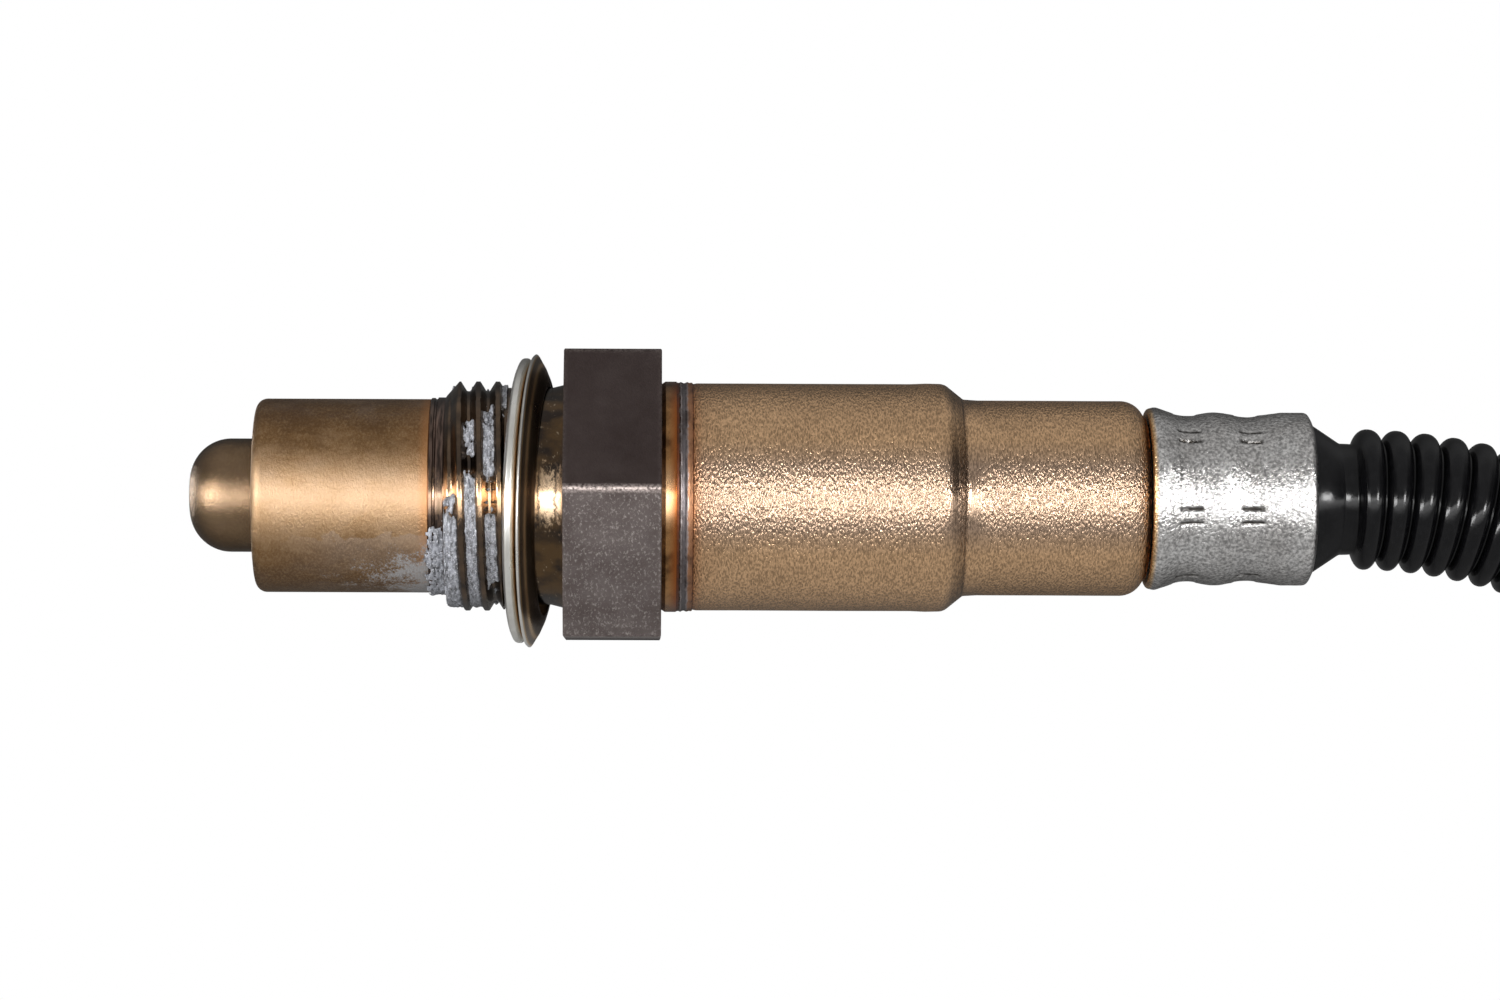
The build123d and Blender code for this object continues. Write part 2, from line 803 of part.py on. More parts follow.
tie_out = Vector(cos(radians(tie_angle)), sin(radians(tie_angle)), 0)
tie_run = Vector(-tie_out.Y, tie_out.X, 0)
tie_centre = coil_centre + tie_out * coil_radius + upper_turn / 2
tie_reach = cable_radius + tie_play

with BuildPart() as cable_tie:
    with BuildSketch(Plane(tie_centre, x_dir=tie_out, z_dir=tie_run)):
        loop_height = 2 * cable_diameter + 2 * clearance
        SlotOverall(
            loop_height + 2 * tie_thickness, 2 * tie_reach + 2 * tie_thickness, rotation=90
        )
        with Locations((-tie_reach - tie_head / 2, 0)):
            Rectangle(tie_head, tie_head)
        SlotOverall(loop_height, 2 * tie_reach, rotation=90, mode=Mode.SUBTRACT)
    extrude(amount=tie_width / 2, both=True)
save(cable_tie, "cable_tie")

# ------------------------------------------------------------------ connector
# It stands on its narrow side. Its frame starts at the spout's mouth and points to its face.
spout_start = cable_end - exit_run * (spout_length - touch_gap)
width_up = Vector(0, 0, 1)
thickness_along = Vector(exit_run.Y, -exit_run.X, 0)


def connector_plane(distance):
    """The plane across the connector at a distance from its spout, X being its width."""
    return Plane(spout_start + exit_run * distance, x_dir=width_up, z_dir=exit_run)


x_cap = spout_length
x_body = x_cap + rear_cap_length
x_plug = x_body + connector_body_length
x_face = x_plug + plug_face_length
cap_width = connector_width - rear_cap_inset
cap_thickness = connector_thickness - rear_cap_inset
seal_width = cap_width - rear_cap_inset - wire_seal_inset
seal_thickness = cap_thickness - rear_cap_inset - wire_seal_inset
terminal_start = x_face - terminal_depth

with BuildPart() as connector_rear_cap:
    with BuildSketch(connector_plane(x_cap)):
        RectangleRounded(cap_width, cap_thickness, connector_corner_radius)
    extrude(amount=rear_cap_length - touch_gap)
    with BuildSketch(connector_plane(0)):
        Circle(cable_radius + clearance + spout_wall)
    extrude(amount=spout_length)
    with BuildSketch(connector_plane(0)):
        Circle(cable_radius + clearance)
    extrude(amount=spout_length, mode=Mode.SUBTRACT)
save(connector_rear_cap, "connector_rear_cap")

with BuildPart() as connector_housing:
    with BuildSketch(connector_plane(x_body)):
        RectangleRounded(connector_width, connector_thickness, connector_corner_radius)
    extrude(amount=connector_body_length)
    with BuildSketch(connector_plane(x_plug)):
        RectangleRounded(plug_face_width, plug_face_thickness, connector_corner_radius / 2)
    extrude(amount=plug_face_length)
    with BuildSketch(connector_plane(x_body)):
        RectangleRounded(
            seal_width + 2 * clearance, seal_thickness + 2 * clearance, connector_corner_radius / 2
        )
    extrude(amount=wire_seal_length + touch_gap, mode=Mode.SUBTRACT)
    with BuildSketch(connector_plane(terminal_start)):
        with GridLocations(terminal_pitch, terminal_pitch, 3, 2):
            Circle(terminal_hole_diameter / 2)
    extrude(amount=terminal_depth, mode=Mode.SUBTRACT)
save(connector_housing, "connector_housing")

with BuildPart() as connector_wire_seal:
    with BuildSketch(connector_plane(x_body)):
        RectangleRounded(seal_width, seal_thickness, connector_corner_radius / 2)
    extrude(amount=wire_seal_length)
save(connector_wire_seal, "connector_wire_seal")

with BuildPart() as connector_front_seal:
    with BuildSketch(connector_plane(x_plug + touch_gap)):
        RectangleRounded(
            plug_face_width + 2 * front_seal_height,
            plug_face_thickness + 2 * front_seal_height,
            connector_corner_radius,
        )
        RectangleRounded(
            plug_face_width + 2 * clearance,
            plug_face_thickness + 2 * clearance,
            connector_corner_radius / 2,
            mode=Mode.SUBTRACT,
        )
    extrude(amount=front_seal_length)
save(connector_front_seal, "connector_front_seal")

with BuildPart() as connector_terminals:
    with BuildSketch(connector_plane(terminal_start)):
        with GridLocations(terminal_pitch, terminal_pitch, 3, 2):
            Rectangle(terminal_size, terminal_size)
    extrude(amount=terminal_depth - terminal_setback)
save(connector_terminals, "connector_terminals")

lock_plane = Plane(
    spout_start - thickness_along * (connector_thickness / 2),
    x_dir=exit_run,
    z_dir=width_up,
)
lock_start = x_body + lock_setback
lock_end = lock_start + lock_length
lock_top = lock_lift + lock_thickness
with BuildPart() as connector_lock:
    with BuildSketch(lock_plane):
        with BuildLine():
            Polyline(
                (lock_start, 0),
                (lock_start, lock_top),
                (lock_end - 2 * lock_hook_height, lock_top),
                (lock_end - lock_hook_height, lock_top + lock_hook_height),
                (lock_end, lock_top),
                (lock_end, lock_lift),
                (lock_start + lock_root_length, lock_lift),
                (lock_start + lock_root_length, 0),
                close=True,
            )
        make_face()
    extrude(amount=lock_width / 2, both=True)
save(connector_lock, "connector_lock")
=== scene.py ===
import json
import math

import bpy
import numpy as np
from mathutils import Matrix, Vector, noise

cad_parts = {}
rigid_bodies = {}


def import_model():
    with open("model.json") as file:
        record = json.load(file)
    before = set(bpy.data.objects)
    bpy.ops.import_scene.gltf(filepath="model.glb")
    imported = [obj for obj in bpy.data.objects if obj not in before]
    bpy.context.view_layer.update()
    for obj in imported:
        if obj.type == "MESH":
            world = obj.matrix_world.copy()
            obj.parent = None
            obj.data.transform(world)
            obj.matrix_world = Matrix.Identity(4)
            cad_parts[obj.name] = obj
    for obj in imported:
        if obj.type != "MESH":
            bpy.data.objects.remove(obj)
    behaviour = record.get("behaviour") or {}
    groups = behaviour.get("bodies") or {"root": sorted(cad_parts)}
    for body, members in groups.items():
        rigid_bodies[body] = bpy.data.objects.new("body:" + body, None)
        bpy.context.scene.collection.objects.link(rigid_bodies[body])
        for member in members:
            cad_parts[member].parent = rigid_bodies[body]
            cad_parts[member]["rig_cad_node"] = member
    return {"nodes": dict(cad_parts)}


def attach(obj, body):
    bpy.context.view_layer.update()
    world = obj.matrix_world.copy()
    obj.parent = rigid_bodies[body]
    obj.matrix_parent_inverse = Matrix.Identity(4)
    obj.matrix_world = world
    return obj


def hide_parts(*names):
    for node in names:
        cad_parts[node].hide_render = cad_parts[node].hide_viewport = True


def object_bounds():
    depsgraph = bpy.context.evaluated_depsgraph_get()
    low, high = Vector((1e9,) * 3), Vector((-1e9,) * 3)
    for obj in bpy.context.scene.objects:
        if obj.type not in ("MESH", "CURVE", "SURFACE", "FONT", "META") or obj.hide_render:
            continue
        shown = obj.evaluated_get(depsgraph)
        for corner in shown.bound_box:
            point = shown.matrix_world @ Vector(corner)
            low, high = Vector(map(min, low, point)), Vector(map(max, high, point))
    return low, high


# The looks of the oxygen sensor. Sizes are in millimetres in the part's own frame: X along the
# sensor from the tip, the origin on its axis at the hexagon's front face, Z up.
MM = 0.001
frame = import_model()
cad_low, cad_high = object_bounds()
nodes = frame["nodes"]

# ------------------------------------------------------------------ sizes
TUBE_START, TUBE_RADIUS = -23.85, 7.5
SMEAR_START, SMEAR_END = -20.5, -11.0  # along the tube, where paste was smeared on it
PILOT_START, PILOT_RADIUS = -10.35, 7.6
LAND_RADIUS = PILOT_RADIUS + 0.04  # the pilot's rear land
PITCH = 1.504  # M18 x 1.5 thread
CREST_RADIUS, ROOT_RADIUS = 8.885, 8.13
CREST_HALF_FLAT, CREST_OVERSHOOT = 0.14, 0.03
FLANK_SLOPE = 0.92 * math.sqrt(3)  # a slightly worn 60 degree thread
LEAD_IN_RADIUS, LEAD_IN_SLOPE, LEAD_IN_LENGTH = 7.85, 1.15, 3.0
THREAD_START, THREAD_END = -9.1, -4.35
THREAD_PHASE = -6.7  # where a crest passes the top
NECK_RADIUS, NECK_ROOT_RADIUS = 8.4, 8.65
NECK_START, NECK_END = -3.3, 0.1  # what shows of the neck behind the washer
HEX_FLATS, HEX_LENGTH, HEX_ROLL, HEX_EDGE = 22.0, 7.5, 2.8, 0.09
COLLAR_RADIUS, COLLAR_END = 8.93, 8.65
WASHER_PLACE, WASHER_TILT, WASHER_LEAN = (-2.4, 0.0, -0.36), -4.9, 1.2
WASHER_BEND, WASHER_FOLD = 0.5, -0.3  # along the washer's own axis
SHELL_START, SHELL_RADIUS = 9.9, 8.8
SHOULDER_START, SHOULDER_END = 29.36, 30.84
SMALL_RADIUS, SHELL_END = 7.55, 44.9
SLEEVE_START, SLEEVE_END = 44.95, 57.7
CRIMP_CENTRES, CRIMP_WIDTH, CRIMP_RADIUS = (48.0, 52.7), 1.8, 6.33
JAWS, JAW_FIRST_GAP, JAW_HALF_GAP = 6, -12.0, 4.8  # the gaps in degrees round the sleeve
CONE_END, CONE_RADIUS, BOOT_NECK_RADIUS = 59.9, 5.85, 4.3
BEND_START = 61.05  # where the boot's line leaves the sensor's axis
HOSE_PITCH, HOSE_RIBS, HOSE_BEND = 2.05, 16, 44.0
VALLEY_RADIUS, RIB_RADIUS = 4.15, 5.45
RIB_SIDE_POWER, RIB_TOP_POWER = 2.3, 1.7  # a rib's outline is half a superellipse
CUFF_RADIUS, CUFF_LENGTH, CUFF_ROUND = 5.0, 8.0, 0.8
CABLE_RADIUS = 3.25
COIL_RADIUS = 32.5


# ------------------------------------------------------------------ mesh helpers
def add_mesh(name, points, faces, sharp=35.0):
    """A smooth shaded object from points in millimetres, sharp where faces meet steeply."""
    mesh = bpy.data.meshes.new(name)
    mesh.from_pydata((np.asarray(points) * MM).tolist(), [], faces)
    mesh.shade_smooth()
    mesh.set_sharp_from_angle(angle=math.radians(sharp))
    made = bpy.data.objects.new(name, mesh)
    bpy.context.scene.collection.objects.link(made)
    return made


def grid_faces(rows, columns, closed_rows=False):
    """Quads of a grid whose columns close on themselves, and its rows too if asked."""
    faces = []
    for row in range(rows if closed_rows else rows - 1):
        here, there = row * columns, (row + 1) % rows * columns
        for column in range(columns):
            after = (column + 1) % columns
            faces.append((here + column, here + after, there + after, there + column))
    return faces


def rounded(corners, steps=8):
    """The (x, r) points of a polyline whose corners (x, r, radius) are rounded off."""
    line = []
    for index, corner in enumerate(corners):
        here = np.array(corner[:2], float)
        radius = corner[2] if len(corner) > 2 else 0.0
        if not radius or index in (0, len(corners) - 1):
            line.append(here)
            continue
        back = np.array(corners[index - 1][:2], float) - here
        ahead = np.array(corners[index + 1][:2], float) - here
        back /= np.linalg.norm(back)
        ahead /= np.linalg.norm(ahead)
        half = math.acos(max(-1.0, min(1.0, float(back @ ahead)))) / 2
        reach = radius / math.tan(half)
        centre = here + (back + ahead) / np.linalg.norm(back + ahead) * radius / math.sin(half)
        first, last = here + back * reach - centre, here + ahead * reach - centre
        turn = math.pi - 2 * half
        for step in range(steps + 1):
            share = step / steps
            blend = math.sin((1 - share) * turn), math.sin(share * turn)
            line.append(centre + (first * blend[0] + last * blend[1]) / math.sin(turn))
    return np.array(line)


def divided(line, step):
    """The line with its long stretches divided so that no run is over a step."""
    points = [line[0]]
    for start, end in zip(line, line[1:]):
        count = max(1, math.ceil(np.linalg.norm(end - start) / step))
        points += [start + (end - start) * (part + 1) / count for part in range(count)]
    return np.array(points)


def round_grid(stations, segments):
    """The x and the angle of each point of a grid wound round the X axis."""
    angles = np.arange(segments) * 2 * math.pi / segments
    return np.meshgrid(stations, angles, indexing="ij")


def round_points(x, angle, radius):
    """Points at those places along and round the X axis; +Z is a quarter turn from +Y."""
    return np.stack((x, radius * np.cos(angle), radius * np.sin(angle)), -1).reshape(-1, 3)


def keep_tint(made, values):
    """Keeps a value for each point of the mesh, which its material reads with tint()."""
    kept = made.data.attributes.new("tint", "FLOAT", "POINT")
    kept.data.foreach_set("value", values.reshape(-1))


def lathe(name, line, segments=192, shape=None, closed=False, place=None, sharp=35.0, tint=None):
    """Turns (x, r) points about X.

    shape(x, angle, r) gives each point's radius and tint(x, angle) its tint. closed joins the
    line's last point to its first, and place is a matrix that moves the finished piece.
    """
    x, angle = round_grid(line[:, 0], segments)
    radius = np.repeat(line[:, 1:2], segments, axis=1)
    if shape:
        radius = shape(x, angle, radius)
    points = round_points(x, angle, radius)
    faces = grid_faces(len(line), segments, closed)
    if place is not None:
        turn = np.array(place.to_3x3())
        points = points @ turn.T + np.array(place.translation)
    made = add_mesh(name, points, faces, sharp)
    if tint:
        keep_tint(made, tint(x, angle))
    return made


def smooth_step(value, low, high):
    """0 below low, 1 above high, and an S curve between."""
    share = np.clip((value - low) / (high - low), 0, 1)
    return share * share * (3 - 2 * share)


def field(x, angle, radius, size, seed):
    """Smooth noise, about -1 to 1, over the points of a lathe; size is its feature in mm."""
    apart = seed * np.array((17.3, 5.1, -9.7))
    points = round_points(x, angle, radius) / size + apart
    values = [noise.noise(Vector(point)) for point in points]
    return np.array(values).reshape(x.shape)


# ------------------------------------------------------------------ material helpers
class Shader:
    """A principled material under construction; its methods return node outputs."""

    def __init__(self, name, **settings):
        self.material = bpy.data.materials.new(name)
        self.material.use_nodes = True
        self.tree = self.material.node_tree
        self.base = self.tree.nodes["Principled BSDF"]
        for key, value in settings.items():
            self.set(key.replace("_", " ").title().replace("Ior", "IOR"), value)
        self.place = self.node("ShaderNodeTexCoord").outputs["Object"]

    def set(self, socket, value):
        """Sets a socket of the principled shader to a number or to a node output."""
        if isinstance(value, bpy.types.NodeSocket):
            self.tree.links.new(value, self.base.inputs[socket])
        else:
            self.base.inputs[socket].default_value = value

    def node(self, kind, inputs=(), **settings):
        """A new node with its inputs set or linked, and its settings set."""
        made = self.tree.nodes.new(kind)
        for key, value in settings.items():
            setattr(made, key, value)
        for key, value in dict(inputs).items():
            if isinstance(value, bpy.types.NodeSocket):
                self.tree.links.new(value, made.inputs[key])
            else:
                made.inputs[key].default_value = value
        return made

    def math(self, operation, first, second=0.0):
        return self.node("ShaderNodeMath", {0: first, 1: second}, operation=operation).outputs[0]

    def plus(self, first, second):
        return self.math("ADD", first, second)

    def times(self, first, second):
        return self.math("MULTIPLY", first, second)

    def stretched(self, along, across):
        """Object coordinates with their own scale along the sensor and across it."""
        inputs = {"Vector": self.place, "Scale": (along, across, across)}
        return self.node("ShaderNodeMapping", inputs).outputs[0]

    def noise(self, along, across=None, detail=4.0, roughness=0.55):
        """Noise with that many features to the millimetre along and across the sensor."""
        across = along if across is None else across
        inputs = {
            "Vector": self.stretched(along / MM, across / MM),
            "Scale": 1.0,
            "Detail": detail,
            "Roughness": roughness,
        }
        return self.node("ShaderNodeTexNoise", inputs).outputs["Fac"]

    def tint(self):
        """What keep_tint kept on the mesh."""
        return self.node("ShaderNodeAttribute", attribute_name="tint").outputs["Fac"]

    def axis(self, name):
        """One coordinate in millimetres."""
        split = self.node("ShaderNodeSeparateXYZ", {"Vector": self.place})
        return self.times(split.outputs[name], 1 / MM)

    def aside(self):
        """How far above or below the sensor's axis, in millimetres."""
        return self.math("ABSOLUTE", self.axis("Z"))

    def span(self, value, low, high, start=0.0, end=1.0):
        """Maps low to high onto start to end, and holds the ends beyond them."""
        inputs = {
            "Value": value,
            "From Min": low,
            "From Max": high,
            "To Min": start,
            "To Max": end,
        }
        return self.node("ShaderNodeMapRange", inputs).outputs["Result"]

    def swing(self, cloud, start=0.0, end=1.0):
        """Maps what noise mostly gives, 0.3 to 0.7, onto start to end."""
        return self.span(cloud, 0.3, 0.7, start, end)

    def ramp(self, value, stops):
        """Colours, or greys, at positions from 0 to 1."""
        made = self.node("ShaderNodeValToRGB", {"Fac": value})
        band = made.color_ramp
        while len(band.elements) < len(stops):
            band.elements.new(1.0)
        for element, (place, colour) in zip(band.elements, stops):
            element.position = place
            tone = (colour, colour, colour) if isinstance(colour, (int, float)) else colour
            element.color = (*tone, 1.0)
        return made.outputs["Color"]

    def mix(self, share, first, second, blend="MIX"):
        """Goes from the first colour to the second as the share goes from 0 to 1."""
        made = self.node("ShaderNodeMix", {"Factor": share}, data_type="RGBA", blend_type=blend)
        colours = [socket for socket in made.inputs if socket.type == "RGBA"]
        for socket, value in zip(colours, (first, second)):
            if isinstance(value, bpy.types.NodeSocket):
                self.tree.links.new(value, socket)
            else:
                socket.default_value = (*value, 1.0)
        return next(socket for socket in made.outputs if socket.type == "RGBA")

    def bump(self, height, depth, strength=1.0):
        """A bump whose height of 1 stands depth millimetres proud."""
        inputs = {"Height": height, "Distance": depth * MM, "Strength": strength}
        self.set("Normal", self.node("ShaderNodeBump", inputs).outputs["Normal"])


def dress(piece, material, replaced=()):
    """Gives a piece its material and its ride, and hides the CAD nodes that it stands for.

    A CAD node rides on its body already.
    """
    piece.data.materials.clear()
    piece.data.materials.append(material)
    if "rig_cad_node" not in piece:
        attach(piece, "root")
    if replaced:
        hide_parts(*replaced)
    return piece


# ------------------------------------------------------------------ materials
def smeared_paste(look, x, z):
    """How much paste lies smeared on the tube: a ragged patch, and a thin veil over more."""
    powder = look.noise(5.5, 4.5, 6, 0.8)
    patches = look.noise(0.55, 0.75, 3)
    low = look.span(z, -2.2, -5.6)
    near = look.span(x, SMEAR_START, SMEAR_END)
    amount = look.plus(look.times(low, near), look.swing(patches, -0.35, 0.25))
    patch = look.math("SUBTRACT", look.plus(amount, look.swing(powder)), 1.0)
    veil = look.span(look.plus(z, look.swing(patches, -0.5, 0.5)), -3.0, -6.5)
    veil = look.ramp(veil, [(0.0, 0.0), (0.05, 0.26), (0.6, 0.2), (1.0, 0.0)])
    veil = look.times(veil, look.span(x, SMEAR_START - 2.0, SMEAR_START + 3.5))
    return look.math("MAXIMUM", look.span(patch, 0.0, 0.35), veil)


def tube_material():
    """Bronze heat tinted tube with a painted highlight, lighter along its middle height, and painted
    shade, browner above and below; orange at its seat, paste smeared on.
    """
    look = Shader("heat_tinted_tube")
    x = look.axis("X")
    z = look.axis("Z")
    cloud = look.noise(0.3, 0.4, 6, 0.68)
    grain = look.noise(6.0, 4.0, 4, 0.7)
    # painted highlight and shade: the tone follows the height above or below the axis, lightest along the
    # middle where the key light is mirrored
    painted_light_height = look.plus(look.times(look.aside(), 1 / TUBE_RADIUS), look.swing(cloud, -0.2, 0.2))
    tint = look.ramp(painted_light_height, [
        (0.0, (0.43, 0.29, 0.18)), (0.35, (0.36, 0.225, 0.12)), (0.62, (0.215, 0.118, 0.05)),
        (0.85, (0.17, 0.095, 0.045)), (1.0, (0.20, 0.13, 0.085)),
    ])
    tint = look.mix(look.span(grain, 0.45, 0.75, 0.0, 0.45), tint, (0.58, 0.40, 0.22))
    stain = look.times(look.span(look.noise(0.22, 0.4, 5, 0.7), 0.48, 0.6), look.span(z, 2.0, 4.0))
    tint = look.mix(look.times(stain, 0.45), tint, (0.12, 0.06, 0.025))
    seat = look.span(x, PILOT_START - 2.65, PILOT_START)
    seat = look.ramp(seat, [(0.0, 0.0), (0.7, 0.1), (0.88, 0.5), (1.0, 0.65)])
    tint = look.mix(seat, tint, (0.50, 0.23, 0.09))
    nose = look.span(x, TUBE_START + 0.15, TUBE_START - 0.15)
    tint = look.mix(look.times(nose, 0.55), tint, (0.12, 0.085, 0.055))
    paste = smeared_paste(look, x, z)
    look.set("Base Color", look.mix(paste, tint, (0.27, 0.26, 0.255)))
    look.set("Metallic", look.span(paste, 0.0, 1.0, 1.0, 0.4))
    rough = look.plus(look.swing(cloud, 0.38, 0.46), look.times(paste, 0.25))
    look.set("Roughness", look.math("SUBTRACT", rough, look.times(nose, 0.18)))
    look.bump(grain, 0.06, 0.9)
    return look.material


def neck_tone(look, x, away, ragged, cloud):
    """Rings of bronze along the neck's middle height, a painted highlight of the key light with dark
    lines in it; beyond them the neck is burnt dark.
    """
    # painted highlight: bright bronze rings, shown only along the middle height where the key light is
    # mirrored
    painted_highlight_rings = look.ramp(look.plus(look.span(x, NECK_START, NECK_END), look.swing(ragged, -0.05, 0.05)), [
        (0.24, (0.08, 0.05, 0.035)), (0.31, (0.50, 0.32, 0.18)), (0.38, (0.40, 0.25, 0.14)),
        (0.42, (0.04, 0.028, 0.02)), (0.46, (0.60, 0.42, 0.26)), (0.60, (0.80, 0.58, 0.38)),
        (0.76, (0.80, 0.58, 0.38)), (0.80, (0.08, 0.05, 0.035)), (0.84, (0.66, 0.46, 0.30)),
        (0.93, (0.34, 0.22, 0.13)), (1.0, (0.10, 0.07, 0.05)),
    ])
    burnt = look.mix(look.span(cloud, 0.4, 0.6), (0.045, 0.034, 0.028), (0.13, 0.08, 0.04))
    burnt = look.mix(look.span(ragged, 0.62, 0.68), burnt, (0.45, 0.36, 0.26))
    return look.mix(look.span(away, 1.1, 2.3), painted_highlight_rings, burnt)


def thread_material():
    """Dark oxidised steel, as on the thread, the neck and the collar, with bronze along its middle height
    as a painted highlight.
    """
    look = Shader("oxidised_thread", metallic=1.0)
    x = look.axis("X")
    cloud = look.noise(0.35, 0.5, 4)
    dark = look.mix(look.span(cloud, 0.35, 0.65), (0.06, 0.048, 0.04), (0.17, 0.115, 0.075))
    ridges = look.noise(6.0, 0.5, 3)
    land = look.mix(look.span(ridges, 0.35, 0.65), (0.05, 0.036, 0.03), (0.22, 0.15, 0.12))
    threaded = look.span(x, THREAD_START - 0.1, THREAD_START + 0.2)
    tone = look.mix(threaded, land, dark)
    ragged = look.noise(3.0, 1.8, 5, 0.75)
    away = look.plus(look.aside(), look.swing(ragged, -1.3, 1.3))
    # painted highlight: bronze along the middle height of the thread and the pilot, where the key light
    # is mirrored
    shine = look.times(look.span(away, 1.9, 0.9, 0.0, 0.75), look.span(threaded, 0.0, 1.0, 0.4, 1.0))
    tone = look.mix(shine, tone, (0.50, 0.33, 0.20))
    neck = look.span(x, NECK_START + 0.1, NECK_START + 0.2)
    tone = look.mix(neck, tone, neck_tone(look, x, away, ragged, cloud))
    patch = look.span(look.noise(0.5, 0.3, 4, 0.6), 0.42, 0.6)
    gold = look.mix(patch, (0.46, 0.24, 0.095), (0.15, 0.075, 0.032))
    # painted highlight: lighter gold along the collar's middle height, where the key light is mirrored
    gold = look.mix(look.span(look.aside(), 2.6, 1.2), gold, (0.72, 0.44, 0.23))
    collar = look.span(x, HEX_LENGTH - 0.2, HEX_LENGTH + 0.1)
    tone = look.mix(collar, tone, gold)
    by_weld = look.span(x, COLLAR_END - 0.65, COLLAR_END - 0.05)
    look.set("Base Color", look.mix(by_weld, tone, (0.33, 0.10, 0.025)))
    streak = look.noise(6.0, 0.8, 4, 0.65)
    look.set("Roughness", look.plus(look.swing(streak, 0.12, 0.24), look.times(collar, 0.05)))
    look.bump(streak, 0.006, 0.7)
    return look.material


def hexagon_material():
    """Dark purple-brown oxide, mottled and speckled, with painted light making its lower faces lighter
    and painted shade its upper faces darker, and light along its edges: wear, with a painted highlight on
    the edge facing the front.
    """
    look = Shader("dark_oxide", metallic=0.9)
    cloud = look.noise(0.3, 0.3, 6, 0.65)
    speck = look.noise(5.2, 3.6, 4, 0.75)
    # painted light: the lower faces get a lit, lighter tone with scuff specks, the upper faces a shaded,
    # darker one
    painted_shade_upper = look.mix(look.swing(cloud), (0.041, 0.029, 0.027), (0.062, 0.047, 0.044))
    painted_lit_scuffed_lower = look.mix(look.swing(cloud), (0.094, 0.074, 0.069), (0.175, 0.148, 0.141))
    painted_lit_scuffed_lower = look.mix(look.span(speck, 0.53, 0.68, 0.0, 0.8), painted_lit_scuffed_lower, (0.40, 0.36, 0.34))
    lower = look.span(look.plus(look.axis("Z"), look.swing(cloud, -0.3, 0.3)), 1.0, 0.2)
    tone = look.mix(lower, painted_shade_upper, painted_lit_scuffed_lower)
    # wear along the edges, with a painted highlight on the front edge
    wear_and_edge_highlight = look.times(look.tint(), look.span(look.noise(5.0, 5.0, 3), 0.35, 0.6))
    look.set("Base Color", look.mix(wear_and_edge_highlight, tone, (0.66, 0.56, 0.52)))
    look.set("Roughness", look.swing(speck, 0.46, 0.62))
    look.bump(speck, 0.05, 0.8)
    return look.material


def shell_material():
    """Satin bronze steel with a fine orange peel grain, burnt orange beside the weld."""
    look = Shader("orange_peel_bronze", metallic=1.0)
    x = look.axis("X")
    cloud = look.noise(0.12, 0.2, 3)
    tone = look.mix(look.swing(cloud), (0.63, 0.40, 0.225), (0.70, 0.445, 0.25))
    # painted shade: darker along the middle height, where the key light is mirrored, to dim the highlight
    # there
    tone = look.mix(look.span(look.aside(), 4.4, 2.4, 0.0, 0.8), tone, (0.345, 0.25, 0.19))
    burnt = look.span(x, SHELL_START, SHELL_START + 2.5)
    burnt = look.ramp(burnt, [(0.0, 1.0), (0.08, 0.6), (0.3, 0.15), (1.0, 0.0)])
    tone = look.mix(burnt, tone, (0.46, 0.20, 0.085))
    # painted shade: darker along the step's slope, darkest in a thin line in the crease at its foot
    darkening = look.ramp(look.span(x, SHOULDER_END - 1.2, SHOULDER_END), [
        (0.0, 0.0), (0.35, 0.35), (0.75, 0.35), (0.82, 0.75), (0.9, 0.2), (1.0, 0.0),
    ])
    tone = look.mix(darkening, tone, (0.06, 0.035, 0.02))
    peel = look.noise(8.5, 3.4, 1, 0.5)
    grain = look.span(peel, 0.36, 0.64, 0.62, 1.26)
    look.set("Base Color", look.mix(1.0, tone, grain, "MULTIPLY"))
    shine = look.ramp(look.span(x, SHOULDER_END - 2.2, SHOULDER_END + 1.8), [
        (0.0, 0.0), (0.2, 0.8), (0.34, 1.0), (0.38, 0.5), (0.54, 0.5), (0.6, 1.0), (0.7, 0.8),
        (1.0, 0.0),
    ])
    look.set("Roughness", look.math("SUBTRACT", look.swing(cloud, 0.28, 0.32), look.times(shine, 0.10)))
    look.bump(look.times(peel, look.span(shine, 0.0, 1.0, 1.0, 0.15)), 0.12)
    return look.material


def weld_material():
    """Dark weld metal between two light lips, burnt orange at both toes."""
    look = Shader("weld_oxide", metallic=0.95, roughness=0.4)
    ripple = look.noise(2.6, 1.6, 5, 0.6)
    place = look.span(look.axis("X"), COLLAR_END - 0.05, COLLAR_END + 1.35)
    tone = look.ramp(look.plus(place, look.swing(ripple, -0.06, 0.06)), [
        (0.0, (0.20, 0.055, 0.02)), (0.20, (0.10, 0.05, 0.035)), (0.25, (0.42, 0.37, 0.36)),
        (0.33, (0.14, 0.12, 0.12)), (0.52, (0.17, 0.155, 0.16)), (0.60, (0.42, 0.36, 0.35)),
        (0.68, (0.40, 0.20, 0.11)), (0.88, (0.34, 0.16, 0.08)), (0.96, (0.05, 0.025, 0.02)),
    ])
    darkening = look.span(look.noise(0.8, 0.5, 4, 0.7), 0.5, 0.65, 0.0, 0.6)
    look.set("Base Color", look.mix(darkening, tone, (0.05, 0.035, 0.03)))
    look.bump(ripple, 0.06, 0.8)
    return look.material


